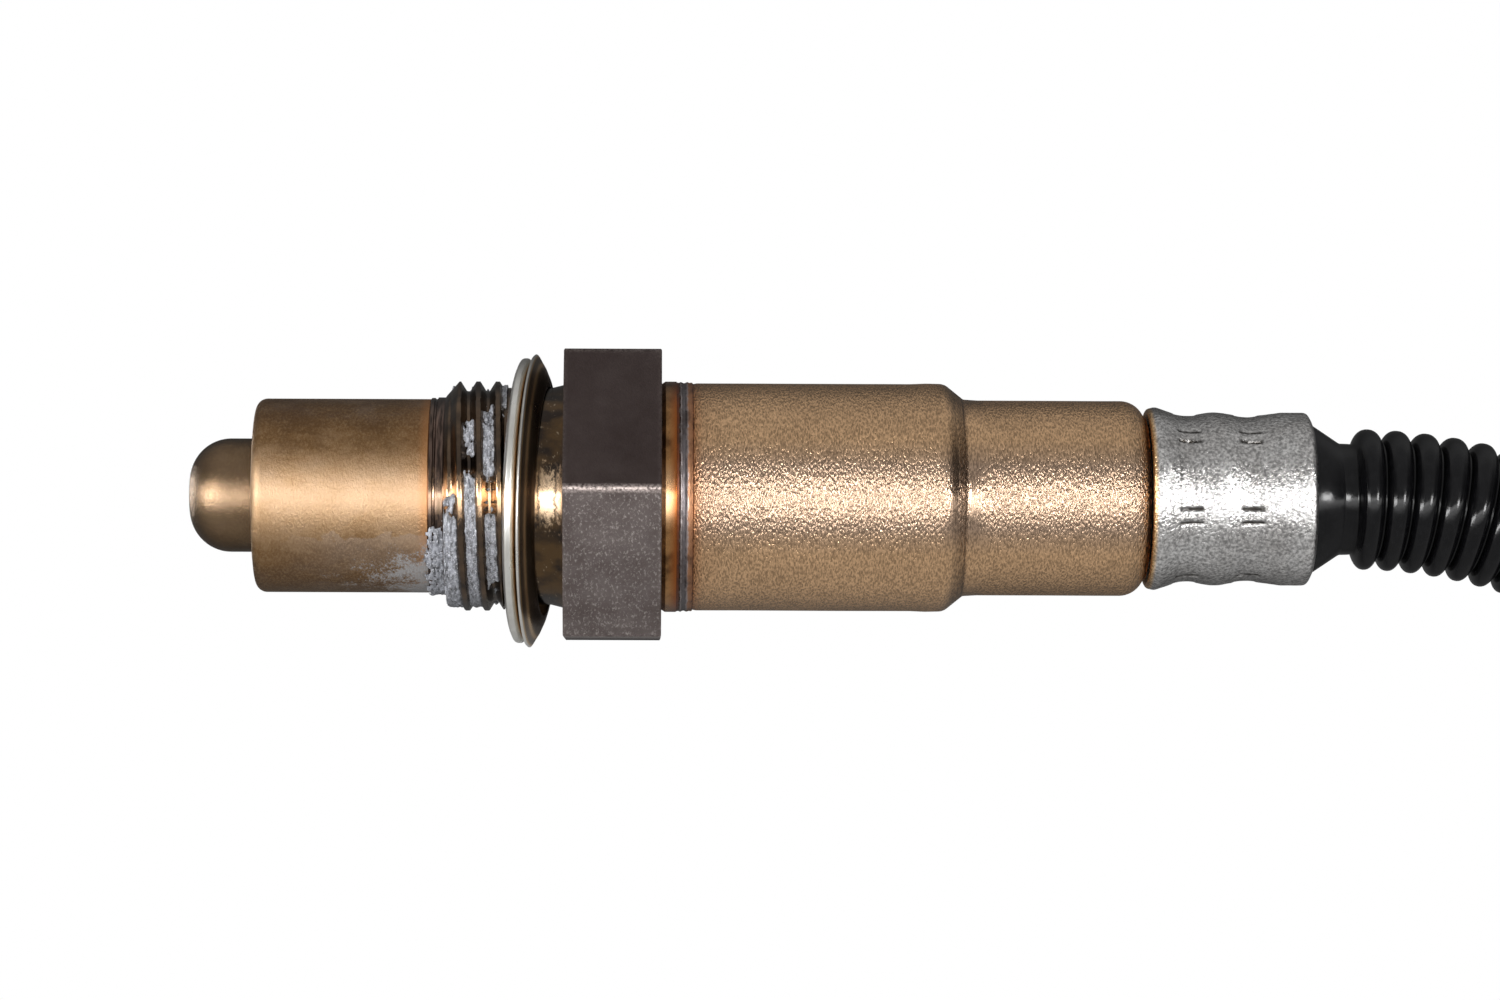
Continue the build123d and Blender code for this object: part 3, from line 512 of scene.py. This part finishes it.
def washer_material():
    """Plain steel sheet, pitted and stained, its rear face tinted dark by heat, with painted shade in the
    fold and a painted bronze reflection along the bend.
    """
    look = Shader("washer_steel", metallic=1.0)
    stain = look.noise(0.9, 0.35, 5)
    steel = look.mix(look.span(stain, 0.4, 0.75), (0.86, 0.85, 0.80), (0.60, 0.58, 0.54))
    heat_and_painted_marks = look.tint()
    # bronze for the painted reflection along the bend, dark for the heat on the rear face and the painted
    # shade in the fold
    tone = look.mix(look.span(heat_and_painted_marks, 0.0, 0.4), steel, (0.58, 0.40, 0.22))
    look.set("Base Color", look.mix(look.span(heat_and_painted_marks, 0.6, 1.0), tone, (0.15, 0.11, 0.075)))
    look.set("Roughness", look.swing(stain, 0.26, 0.38))
    look.bump(look.noise(3.0), 0.012, 0.5)
    return look.material


def sleeve_material():
    """Bright crystalline steel, with painted shade in the dents that the jaws left."""
    look = Shader("crystalline_steel", metallic=1.0)
    grain = look.noise(4.2, 4.2, 3, 0.6)
    cloud = look.noise(0.3, 0.3, 4)
    tone = look.mix(look.swing(cloud), (0.48, 0.465, 0.45), (0.66, 0.65, 0.64))
    lip = look.span(look.axis("X"), SLEEVE_START + 0.5, SLEEVE_START + 0.25)
    tone = look.mix(lip, tone, (0.80, 0.52, 0.27))
    tone = look.mix(1.0, tone, look.span(grain, 0.36, 0.64, 0.5, 1.36), "MULTIPLY")
    # painted shade: near black where the jaws' dashes are dented in
    look.set("Base Color", look.mix(look.tint(), tone, (0.03, 0.026, 0.022)))
    look.set("Roughness", look.span(cloud, 0.35, 0.65, 0.22, 0.30))
    look.bump(grain, 0.08)
    return look.material


def paste_material():
    """Blue-grey paste, streaked around the thread and speckled white."""
    look = Shader("anti_seize_paste", roughness=0.36, specular_ior_level=0.6)
    streak = look.noise(5.0, 1.6, 5, 0.6)
    speck = look.noise(10.0, 7.0, 3, 0.6)
    tone = look.mix(look.span(streak, 0.35, 0.65), (0.05, 0.05, 0.054), (0.36, 0.37, 0.41))
    look.set("Base Color", look.mix(look.span(speck, 0.55, 0.72), tone, (0.75, 0.76, 0.80)))
    look.bump(speck, 0.07, 0.9)
    return look.material


def rubber_material(name, tone=(0.002, 0.002, 0.0024), roughness=0.14):
    """Black rubber with a little dust, glossy or dull by its roughness."""
    look = Shader(name, specular_ior_level=0.24)
    dust = look.noise(1.4, 1.4, 5, 0.7)
    lighter = tuple(value * 1.6 + 0.002 for value in tone)
    look.set("Base Color", look.mix(look.span(dust, 0.45, 0.8), tone, lighter))
    look.set("Roughness", look.swing(dust, roughness * 0.8, roughness * 1.35))
    look.bump(look.noise(3.5, 3.5, 3), 0.012, 0.5)
    return look.material


def plain_material(name, tone, roughness, metallic=0.0, grain=2.0, depth=0.01, spread=0.25):
    """A moulded, fired or drawn surface with a slight grain in colour, gloss and relief."""
    look = Shader(name, metallic=metallic)
    speck = look.noise(grain, grain, 4)
    darker = tuple(value * (1 - spread) for value in tone)
    lighter = tuple(min(1.0, value * (1 + spread)) for value in tone)
    look.set("Base Color", look.mix(speck, darker, lighter))
    look.set("Roughness", look.swing(speck, roughness * 0.85, min(1.0, roughness * 1.2)))
    look.bump(speck, depth, 0.6)
    return look.material


# ------------------------------------------------------------------ housing
def thread_place(x, angle):
    """How many pitches along the right-hand thread; a whole number is on a crest."""
    turn = (angle - math.pi / 2) / (2 * math.pi)
    return (x - THREAD_PHASE) / PITCH - turn


def thread_radius(x, angle):
    """The radius of a 60 degree thread with flat crests and roots."""
    place = thread_place(x, angle)
    away = np.abs(place - np.round(place)) * PITCH
    flank = CREST_RADIUS + CREST_OVERSHOOT - (away - CREST_HALF_FLAT) * FLANK_SLOPE
    return np.clip(flank, ROOT_RADIUS, CREST_RADIUS)


def housing_shape(x, angle, radius):
    """The turned body's radius, with its thread fading in and out."""
    lead_in = np.clip(x - THREAD_START - 0.05, 0, LEAD_IN_LENGTH) * LEAD_IN_SLOPE
    threaded = np.minimum(thread_radius(x, angle), LEAD_IN_RADIUS + lead_in)
    inside = (x > THREAD_START + 0.01) & (x < THREAD_END)
    fade = smooth_step(x, THREAD_END - 0.35, THREAD_END)
    return np.where(inside, threaded * (1 - fade) + NECK_RADIUS * fade, radius)


housing_line = rounded([
    (PILOT_START - 0.3, 6.9),
    (PILOT_START, PILOT_RADIUS - 0.12),
    (PILOT_START + 0.1, PILOT_RADIUS),
    (PILOT_START + 0.34, PILOT_RADIUS),
    (PILOT_START + 0.42, PILOT_RADIUS - 0.1),
    (PILOT_START + 0.52, PILOT_RADIUS - 0.08),
    (PILOT_START + 0.6, LAND_RADIUS),
    (THREAD_START - 0.1, LAND_RADIUS),
    (THREAD_START, 7.8),
    (THREAD_END, NECK_RADIUS),
    (-1.0, NECK_RADIUS, 0.3),
    (0.0, NECK_ROOT_RADIUS),
    (0.1, NECK_ROOT_RADIUS),
    (HEX_LENGTH - 0.1, COLLAR_RADIUS - 0.25),
    (HEX_LENGTH + 0.12, COLLAR_RADIUS - 0.12, 0.1),
    (HEX_LENGTH + 0.3, COLLAR_RADIUS, 0.1),
    (COLLAR_END, COLLAR_RADIUS, 0.05),
    (COLLAR_END + 0.1, COLLAR_RADIUS - 0.2),
])
# housing_shape gives the thread's rows their radius
thread_rows = np.arange(THREAD_START, THREAD_END, PITCH / 24)
before = housing_line[housing_line[:, 0] <= THREAD_START]
after = housing_line[housing_line[:, 0] >= THREAD_END]
middle = np.stack((thread_rows[1:], np.full(len(thread_rows) - 1, ROOT_RADIUS)), -1)
housing = lathe(
    "housing_turned", np.concatenate((before, middle, after)), 256, housing_shape, sharp=50
)
dress(housing, thread_material(), ["housing"])


def hexagon(name):
    """The hexagon with narrow broken edges between its flats and at both its faces."""
    reach = HEX_FLATS / math.sqrt(3)
    corners = []
    for side in range(6):
        # each corner is three points: degrees beside it, and share of the full reach
        for swing, size in ((-0.7, 0.994), (0.0, 0.997), (0.7, 0.994)):
            turn = math.radians(60 * side - HEX_ROLL + swing)
            corners.append((reach * size * math.cos(turn), reach * size * math.sin(turn)))
    outline = divided(np.array(corners + corners[:1]), 0.3)[:-1]
    # the front face and its edge: x, and share of the outline's size
    front = [(0.02, 0.60), (0.02, 0.93), (0.0, 0.988), (0.03, 0.995), (HEX_EDGE, 1.0)]
    rear = [(HEX_LENGTH - x, size) for x, size in reversed(front)]
    rows = divided(np.array(front + rear), 0.3)
    points = [(x, y * size, z * size) for x, size in rows for y, z in outline]
    made = add_mesh(name, points, grid_faces(len(rows), len(outline)), 30)
    keep_tint(made, hexagon_wear_and_highlight(rows[:, 0], outline, reach))
    return made


def hexagon_wear_and_highlight(x, outline, reach):
    """Worn along the edges, most along the edge between the two near flats, where a painted highlight is
    added to the wear, and least at the faces' edges.
    """
    distance = np.linalg.norm(outline, axis=1) / reach
    # the edge that faces the front gets far more: a painted highlight on top of the wear
    edge_wear_and_highlight = np.where(outline[:, 0] < -0.9 * reach, 0.9, 0.15)
    along_edge = smooth_step(distance, 0.9922, 0.9955) * edge_wear_and_highlight
    at_face = 1 - smooth_step(np.minimum(x, HEX_LENGTH - x), 0.05, 0.12)
    return np.maximum(along_edge[None, :], at_face[:, None] * 0.1)


dress(hexagon("hexagon"), hexagon_material())

# ------------------------------------------------------------------ thread paste
# where paste lies in the grooves on the near side: groove, highest and lowest place
PASTE_PATCHES = (
    (-2, -0.9, -9.0), (-1, 5.5, 3.4), (-1, 1.5, -9.0), (0, 6.0, 1.7), (0, -1.0, -7.0), (1, 9.0, 6.4),
)
PASTE_RADIUS = 8.58  # in the grooves
PASTE_DEPTH = 0.10  # of its lumps and streaks, and of the smear on the pilot
PASTE_ROOT = 0.12  # how far its hidden underside lies in the steel
GROOVE_MIDDLE = 8.3


def paste_cover(x, angle, radius):
    """How full of paste the grooves and the pilot are, from 0 to 1, with ragged ends."""
    ragged = field(x, angle, radius, 0.9, 3) + 0.7 * field(x * 1.5, angle, radius, 0.4, 4)
    groove = np.floor(thread_place(x, angle))
    height = radius * np.sin(angle) + 1.3 * ragged
    near = -np.cos(angle)
    cover = np.where(near < -0.1, 0.9 * smooth_step(ragged, 0.1, 0.5), 0.0)
    for number, high, low in PASTE_PATCHES:
        above_low = smooth_step(height, low - 0.3, low + 0.3)
        below_high = smooth_step(-height, -high - 0.3, 0.3 - high)
        patch = np.maximum(cover, above_low * below_high)
        cover = np.where((groove == number) & (near >= -0.1), patch, cover)
    smear = smooth_step(-height, 2.4, 3.4) * smooth_step(near, -0.2, 0.2)
    smear *= smooth_step(x + 0.35 * ragged, PILOT_START - 0.5, PILOT_START + 0.3)
    return np.where(x < THREAD_START, smear, cover)


def paste_mesh(name):
    """Paste that fills the grooves almost to the crests and lies thin on the pilot."""
    segments = 320
    rows = np.arange(PILOT_START - 0.6, THREAD_END, PITCH / 28)
    x, angle = round_grid(rows, segments)
    middle = np.full_like(x, GROOVE_MIDDLE)
    on_pilot = x < THREAD_START
    steel = np.where(on_pilot, LAND_RADIUS, housing_shape(x, angle, middle))
    lumps = field(x, angle, middle, 0.35, 6)
    streaks = field(x * 3.5, angle, middle, 0.8, 7)
    full = np.where(on_pilot, PILOT_RADIUS + PASTE_DEPTH, PASTE_RADIUS)
    full = full + PASTE_DEPTH * (lumps + streaks)
    base = steel - PASTE_ROOT
    radius = base + (full - base) * paste_cover(x, angle, middle)
    shown = (radius > steel).reshape(-1)
    points = round_points(x, angle, np.maximum(radius, base))
    keep = [face for face in grid_faces(len(rows), segments) if shown[list(face)].any()]
    used = sorted({corner for face in keep for corner in face})
    new_place = {corner: index for index, corner in enumerate(used)}
    faces = [tuple(new_place[corner] for corner in face) for face in keep]
    return add_mesh(name, points[used], faces, 180)


dress(paste_mesh("thread_paste"), paste_material())

# ------------------------------------------------------------------ crush washer
washer_frame = (
    Matrix.Translation(Vector(WASHER_PLACE))
    @ Matrix.Rotation(math.radians(WASHER_LEAN), 4, "Y")
    @ Matrix.Rotation(math.radians(WASHER_TILT), 4, "Z")
)
washer_line = divided(rounded([
    (-1.25, 8.9),
    (-1.25, 10.5, 0.3),
    (-1.02, 11.05, 0.25),
    (-0.6, 11.05, 0.15),
    (-0.42, 10.75),
    (WASHER_FOLD, 10.5),
    (-0.18, 10.75),
    (-0.12, 11.28),
    (0.0, 11.39, 0.03),
    (0.07, 11.3),
    (0.30, 10.9, 0.5),
    (0.55, 10.5, 0.5),
    (0.9, 9.7, 0.4),
    (1.05, 9.2, 0.1),
    (1.05, 8.9),
], 4), 0.1)


def washer_shape(x, angle, radius):
    """A ring that is slightly oval and uneven, as after a first tightening."""
    return radius + 0.03 * field(x * 0, angle, radius, 4.0, 8) + 0.02 * np.sin(2 * angle + 0.7)


def washer_heat_and_painted_marks(x, angle):
    """1 for heat on the rear face and for painted shade in the fold, a half for a painted bronze
    reflection along the bend.
    """
    bend = np.exp(-(((x - WASHER_BEND) / 0.09) ** 2))
    fold = np.exp(-(((x - WASHER_FOLD) / 0.08) ** 2))
    return np.maximum(smooth_step(x, 0.06, 0.2) - 0.5 * bend, fold)


washer = lathe("crush_ring", washer_line, 224, washer_shape, True, washer_frame, 40, washer_heat_and_painted_marks)
dress(washer, washer_material(), ["crush_washer"])

# ------------------------------------------------------------------ weld and shell
weld_line = divided(rounded([
    (COLLAR_END - 0.05, 8.7),
    (COLLAR_END - 0.02, 8.88),
    (COLLAR_END + 0.20, 8.84, 0.1),
    (COLLAR_END + 0.33, 8.92, 0.08),
    (COLLAR_END + 0.58, 8.80, 0.2),
    (COLLAR_END + 0.83, 8.91, 0.08),
    (COLLAR_END + 0.98, 8.84, 0.1),
    (COLLAR_END + 1.20, 8.86, 0.1),
    (COLLAR_END + 1.32, 8.7),
]), 0.05)


def weld_shape(x, angle, radius):
    """The fine ripples of the bead, longer along the seam than across it."""
    return radius + 0.02 * field(x * 0.6, angle, radius, 0.6, 11)


dress(lathe("weld_bead", weld_line, 256, weld_shape), weld_material(), ["weld_seam"])

shell_line = divided(rounded([
    (SHELL_START - 0.02, 8.5),
    (SHELL_START, SHELL_RADIUS - 0.06, 0.05),
    (SHELL_START + 0.3, SHELL_RADIUS, 0.2),
    (SHOULDER_START - 2.6, SHELL_RADIUS),
    (SHOULDER_START - 1.4, SHELL_RADIUS + 0.05, 1.0),
    (SHOULDER_START, SHELL_RADIUS + 0.02, 1.1),
    (SHOULDER_END, SMALL_RADIUS + 0.07, 0.35),
    (SHOULDER_END + 1.1, SMALL_RADIUS, 2.0),
    (SHELL_END, SMALL_RADIUS, 1.9),
    (SHELL_END, 6.3, 0.3),
    (SHELL_END - 0.3, 5.3),
], 12), 0.5)


def shell_shape(x, angle, radius):
    """The slight unevenness of a deep-drawn wall."""
    return radius + 0.012 * field(x, angle, radius, 5.0, 21)


dress(
    lathe("shell_case", shell_line, 224, shell_shape, sharp=50),
    shell_material(), ["metal_shell"],
)

# ------------------------------------------------------------------ crimp sleeve
sleeve_line = divided(rounded([
    (SLEEVE_START + 0.55, 6.3),
    (SLEEVE_START, 6.55, 0.2),
    (SLEEVE_START + 0.15, 6.95, 0.3),
    (SLEEVE_START + 0.75, 7.1, 0.7),
    (CRIMP_CENTRES[0], CRIMP_RADIUS, 4.2),
    (sum(CRIMP_CENTRES) / 2, 6.78, 4.2),
    (CRIMP_CENTRES[1], CRIMP_RADIUS, 4.2),
    (SLEEVE_END - 2.2, 6.70, 3.4),
    (SLEEVE_END - 0.3, 6.70, 0.45),
    (SLEEVE_END, 6.1, 0.15),
    (SLEEVE_END - 0.2, 5.7),
], 14), 0.12)


def jaw_mark(x, angle):
    """How far a place lies inside the faces that the jaws pressed, and how near their ends."""
    step = 2 * math.pi / JAWS
    gap = math.radians(180 - JAW_FIRST_GAP)
    away = np.degrees(np.abs((angle - gap + step / 2) % step - step / 2))
    face = np.zeros_like(x)
    end = np.zeros_like(x)
    for centre in CRIMP_CENTRES:
        across = 1 - smooth_step(np.abs(x - centre), CRIMP_WIDTH / 2 - 0.12, CRIMP_WIDTH / 2 + 0.1)
        pressed = smooth_step(away, JAW_HALF_GAP - 1.0, JAW_HALF_GAP + 0.6)
        face = np.maximum(face, across * pressed)
        end = np.maximum(end, across * np.exp(-(((away - JAW_HALF_GAP) / 1.1) ** 2)))
    return face, end


def sleeve_shape(x, angle, radius):
    """Six jaws pressed the sleeve at two places and left faces with dashes at their ends."""
    face, end = jaw_mark(x, angle)
    ragged = 1 + 0.35 * field(x, angle, radius, 0.5, 31)
    relief = 0.02 * field(x, angle, radius, 1.6, 32) + 0.012 * field(x, angle, radius, 0.5, 33)
    return radius - 0.05 * face - 0.11 * end * ragged + relief


def jaw_dent_shade(x, angle):
    """Painted shade in the dashes, ragged at its rim."""
    end = jaw_mark(x, angle)[1]
    ragged = 1.3 + 1.2 * field(x, angle, np.full_like(x, 6.4), 0.3, 34)
    return np.clip(end * ragged, 0, 1)


dress(
    lathe("sleeve", sleeve_line, 384, sleeve_shape, sharp=60, tint=jaw_dent_shade),
    sleeve_material(), ["crimp_sleeve"],
)


# ------------------------------------------------------------------ hose boot
def hose_place(distance):
    """Centre and fall angle of the boot's line at a distance from its first bend."""
    half = HOSE_PITCH * HOSE_RIBS / 2
    falling = min(max(distance, 0), half) / HOSE_BEND
    fall = falling - min(max(distance - half, 0), half) / HOSE_BEND
    straight = min(distance, 0) + max(distance - 2 * half, 0)
    x = BEND_START + straight + HOSE_BEND * (2 * math.sin(falling) - math.sin(fall))
    z = -HOSE_BEND * (1 - 2 * math.cos(falling) + math.cos(fall))
    return x, z, fall


def hose_stations():
    """Distance from the first bend and radius: the cone, a short neck, the ribs and the cuff."""
    sleeve, cone = SLEEVE_END - BEND_START, CONE_END - BEND_START
    stations = [(sleeve - 0.6, CONE_RADIUS - 0.25), (sleeve, CONE_RADIUS)]
    stations += [(cone, BOOT_NECK_RADIUS + 0.08), (cone + 0.15, BOOT_NECK_RADIUS + 0.02)]
    stations += [(-0.35, BOOT_NECK_RADIUS), (-0.12, BOOT_NECK_RADIUS - 0.02)]
    samples = 22
    for rib in range(HOSE_RIBS):
        for part in range(samples):
            share = (part + 0.5) / samples
            swell = (1 - abs(2 * share - 1) ** RIB_SIDE_POWER) ** (1 / RIB_TOP_POWER)
            radius = VALLEY_RADIUS + (RIB_RADIUS - VALLEY_RADIUS) * swell
            stations.append(((rib + share) * HOSE_PITCH, radius))
    cuff = HOSE_RIBS * HOSE_PITCH
    end = cuff + CUFF_LENGTH
    stations += [(cuff + 0.05, 4.6), (cuff + 0.1, 4.85), (cuff + 0.25, CUFF_RADIUS)]
    stations += [(cuff + CUFF_LENGTH * part / 6, CUFF_RADIUS) for part in range(1, 6)]
    for part in range(7):
        turn = math.pi / 2 * part / 6
        inward, outward = CUFF_ROUND * math.sin(turn), CUFF_ROUND * math.cos(turn)
        stations.append((end - CUFF_ROUND + inward, CUFF_RADIUS - CUFF_ROUND + outward))
    return stations + [(end, CABLE_RADIUS + 0.1), (end - 0.8, CABLE_RADIUS)]


def hose_mesh(name):
    """The boot's profile carried along its bent line."""
    stations = hose_stations()
    segments = 96
    points = []
    for distance, radius in stations:
        x, z, fall = hose_place(distance)
        for column in range(segments):
            angle = 2 * math.pi * column / segments
            up = radius * math.sin(angle)
            side = radius * math.cos(angle)
            points.append((x + up * math.sin(fall), side, z + up * math.cos(fall)))
    return add_mesh(name, points, grid_faces(len(stations), segments), 60)


dress(hose_mesh("ribbed_boot"), rubber_material("boot_rubber"), ["hose_boot"])

# ------------------------------------------------------------------ cable
lower_turn, upper_turn = -7.65, -1.15  # heights of the coil's turns
cable_route = [
    (95.2, 0.0, -6.05),
    (108.2, 0.0, -6.05),
    (120.6, -2.2, lower_turn),
    (132.8, -4.44, lower_turn),
    (144.0, -6.5, lower_turn),
]
cable_end = [(142.5, 52.0, upper_turn), (132.0, 47.85, upper_turn), (121.0, 43.83, upper_turn)]
ring_centre = (160.307, 23.553)
ring_start, ring_end = -100.4, 470.0
climb_start, climb_end = 150.0, 235.0
turn_points = 16
control_radius = COIL_RADIUS / 0.972  # the smooth line runs inside its control points
strand = list(cable_route)
steps = round((ring_end - ring_start) / 360 * turn_points)
for step in range(1, steps):
    angle = ring_start + (ring_end - ring_start) * step / steps
    climb = float(smooth_step(np.float64(angle), climb_start, climb_end))
    strand.append((
        ring_centre[0] + control_radius * math.cos(math.radians(angle)),
        ring_centre[1] + control_radius * math.sin(math.radians(angle)),
        lower_turn + (upper_turn - lower_turn) * climb,
    ))
strand += cable_end

curve = bpy.data.curves.new("cable", "CURVE")
curve.dimensions = "3D"
curve.bevel_depth = CABLE_RADIUS * MM
curve.bevel_resolution = 10
curve.use_fill_caps = True
line = curve.splines.new("NURBS")
line.points.add(len(strand) - 1)
for point, (x, y, z) in zip(line.points, strand):
    point.co = (x * MM, y * MM, z * MM, 1.0)
line.order_u = 3
line.use_endpoint_u = True
line.resolution_u = 12
cable = bpy.data.objects.new("cable", curve)
bpy.context.scene.collection.objects.link(cable)
curve.materials.append(rubber_material("cable_sheath", (0.010, 0.010, 0.011), 0.34))
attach(cable, "root")
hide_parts("cable_lead", "cable_coil")

# ------------------------------------------------------------------ carried-over pieces
plastic = plain_material("connector_plastic", (0.018, 0.018, 0.019), 0.42, grain=3.0, depth=0.02)
ceramic = plain_material("fired_ceramic", (0.80, 0.77, 0.70), 0.55, grain=3.0, spread=0.05)
contact = plain_material("contact_alloy", (0.62, 0.58, 0.50), 0.3, metallic=1.0)
spring = plain_material("spring_steel", (0.45, 0.44, 0.43), 0.33, metallic=1.0)
carried = {
    "inner_protection_tube": tube_material(),
    "sensor_element": plain_material("zirconia", (0.78, 0.76, 0.72), 0.4, depth=0.004, spread=0.04),
    "front_ceramic_bush": ceramic,
    "rear_ceramic_bush": ceramic,
    "contact_holder_upper": ceramic,
    "contact_holder_lower": ceramic,
    "sealing_powder": plain_material("talc", (0.72, 0.72, 0.68), 0.9, grain=5.0, depth=0.03, spread=0.08),
    "spring_ring": spring,
    "holder_clamp_ring": spring,
    "wire_grommet": rubber_material("grommet_rubber", (0.02, 0.02, 0.02), 0.5),
    "wire_white": plain_material("insulation_white", (0.75, 0.75, 0.72), 0.45, spread=0.05),
    "wire_grey": plain_material("insulation_grey", (0.18, 0.19, 0.20), 0.45),
    "wire_black": plain_material("insulation_black", (0.012, 0.012, 0.012), 0.45),
    "wire_red": plain_material("insulation_red", (0.38, 0.016, 0.012), 0.45),
    "wire_yellow": plain_material("insulation_yellow", (0.62, 0.38, 0.015), 0.45),
    "cable_tie": plain_material("tie_nylon", (0.02, 0.02, 0.021), 0.38),
    "connector_rear_cap": plastic,
    "connector_housing": plastic,
    "connector_lock": plain_material("lock_plastic", (0.10, 0.105, 0.115), 0.42, grain=3.0, depth=0.02),
    "connector_wire_seal": plain_material("silicone_seal", (0.42, 0.10, 0.03), 0.5),
    "connector_front_seal": plain_material("silicone_ring", (0.42, 0.10, 0.03), 0.5),
    "connector_terminals": plain_material("tinned_brass", (0.70, 0.58, 0.34), 0.28, metallic=1.0),
}
carried["outer_protection_tube"] = carried["inner_protection_tube"]
for number in range(1, 6):
    carried[f"contact_spring_{number}"] = contact
for name, material in carried.items():
    dress(nodes[name], material)

for name in ("connector_rear_cap", "connector_housing", "connector_lock", "cable_tie"):
    edge = nodes[name].modifiers.new("broken_edges", "BEVEL")
    edge.width = 0.25 * MM
    edge.segments = 2
    edge.limit_method = "ANGLE"
    edge.angle_limit = math.radians(50)
    edge.harden_normals = True

# ------------------------------------------------------------------ stage, light and camera
FLOOR_REACH = 3.0  # metres
corners = [(x, y, cad_low.z) for x, y in ((-1, -1), (1, -1), (1, 1), (-1, 1))]
corners = [(x * FLOOR_REACH, y * FLOOR_REACH, z) for x, y, z in corners]
floor_mesh = bpy.data.meshes.new("floor")
floor_mesh.from_pydata(corners, [], [(0, 1, 2, 3)])
floor = bpy.data.objects.new("floor", floor_mesh)
bpy.context.scene.collection.objects.link(floor)


def lit(tree, kind, strength):
    """An emission or background shader whose strength is a number or a node output."""
    made = tree.nodes.new(kind)
    if isinstance(strength, bpy.types.NodeSocket):
        tree.links.new(strength, made.inputs["Strength"])
    else:
        made.inputs["Strength"].default_value = strength
    made.inputs["Color"].default_value = (1, 1, 1, 1)
    return made.outputs[0]


def seen_and_reflected(tree, kind, reflected, output):
    """White where the camera looks at it, and that strength where the object reflects it."""
    path = tree.nodes.new("ShaderNodeLightPath")
    mix = tree.nodes.new("ShaderNodeMixShader")
    tree.links.new(path.outputs["Is Camera Ray"], mix.inputs[0])
    tree.links.new(lit(tree, kind, reflected), mix.inputs[1])
    tree.links.new(lit(tree, kind, 1.0), mix.inputs[2])
    tree.links.new(mix.outputs[0], tree.nodes[output].inputs["Surface"])


def split_place(tree, coordinates):
    """X, Y and Z of those coordinates."""
    split = tree.nodes.new("ShaderNodeSeparateXYZ")
    tree.links.new(tree.nodes.new("ShaderNodeTexCoord").outputs[coordinates], split.inputs[0])
    return split.outputs


def reckoned(tree, operation, *values):
    """What a math node makes of one or two node outputs."""
    made = tree.nodes.new("ShaderNodeMath")
    made.operation = operation
    for socket, value in zip(made.inputs, values):
        tree.links.new(value, socket)
    return made.outputs[0]


def faded(tree, value, places, strengths, kind="LINEAR"):
    """A strength that goes from one value to another between two places."""
    made = tree.nodes.new("ShaderNodeMapRange")
    made.interpolation_type = kind
    tree.links.new(value, made.inputs["Value"])
    for key, number in zip(("From Min", "From Max", "To Min", "To Max"), places + strengths):
        made.inputs[key].default_value = number
    return made.outputs["Result"]


# the table is bright in front of the sensor, most where it mirrors the key softbox
floor_paint = bpy.data.materials.new("floor_paint")
floor_paint.use_nodes = True
tree = floor_paint.node_tree
tree.nodes.remove(tree.nodes["Principled BSDF"])
depth = split_place(tree, "Object")["Y"]
plain = faded(tree, depth, (-0.005, 0.005), (0.48, 0.12))
mirrored = faded(tree, depth, (-0.07, -0.03), (3.2, 0.0))
seen_and_reflected(
    tree, "ShaderNodeEmission", reckoned(tree, "ADD", plain, mirrored), "Material Output"
)
floor.data.materials.append(floor_paint)

# the room is bright in front of the sensor and darker behind it and at both sides
world = bpy.data.worlds.new("studio")
bpy.context.scene.world = world
world.use_nodes = True
tree = world.node_tree
tree.nodes.remove(tree.nodes["Background"])
direction = split_place(tree, "Generated")
behind = faded(tree, direction["Y"], (0.2, 0.9), (0.49, 0.08), "SMOOTHSTEP")
aside = faded(tree, reckoned(tree, "ABSOLUTE", direction["X"]), (0.6, 0.9), (1.0, 0.2))
seen_and_reflected(
    tree, "ShaderNodeBackground", reckoned(tree, "MULTIPLY", behind, aside), "World Output"
)


def softbox(name, place, target, width, height, watts):
    """A rectangular light in metres and watts, turned to its target."""
    data = bpy.data.lights.new(name, "AREA")
    data.shape = "RECTANGLE"
    data.size, data.size_y, data.energy = width, height, watts
    lamp = bpy.data.objects.new(name, data)
    lamp.location = place
    lamp.rotation_euler = (Vector(target) - Vector(place)).to_track_quat("-Z", "Y").to_euler()
    bpy.context.scene.collection.objects.link(lamp)


softbox("key", (0.02, -0.52, -0.075), (0.02, 0.0, 0.0), 1.1, 0.22, 4.6)
softbox("left", (-0.38, -0.25, -0.02), (-0.02, 0.0, 0.0), 0.34, 0.14, 3.6)
softbox("right", (0.32, -0.41, -0.01), (0.04, 0.0, 0.0), 0.14, 0.16, 2.0)
softbox("back_left", (-0.42, 0.34, 0.0), (-0.02, 0.0, 0.0), 0.30, 0.10, 0.8)
softbox("back_right", (0.52, 0.34, 0.0), (0.05, 0.0, 0.0), 0.30, 0.10, 0.8)

camera_data = bpy.data.cameras.new("camera")
camera = bpy.data.objects.new("camera", camera_data)
bpy.context.scene.collection.objects.link(camera)
bpy.context.scene.camera = camera
camera_data.sensor_width = 36.0
camera_data.lens = 117.6
camera_data.shift_x = 0.0733
camera.location = (0.00586, -0.38, -0.00026)
camera.rotation_euler = (math.radians(90), math.radians(-0.22), 0.0)
camera_data.clip_start = 0.01
camera_data.clip_end = 20.0
bpy.context.scene.view_settings.view_transform = "Standard"
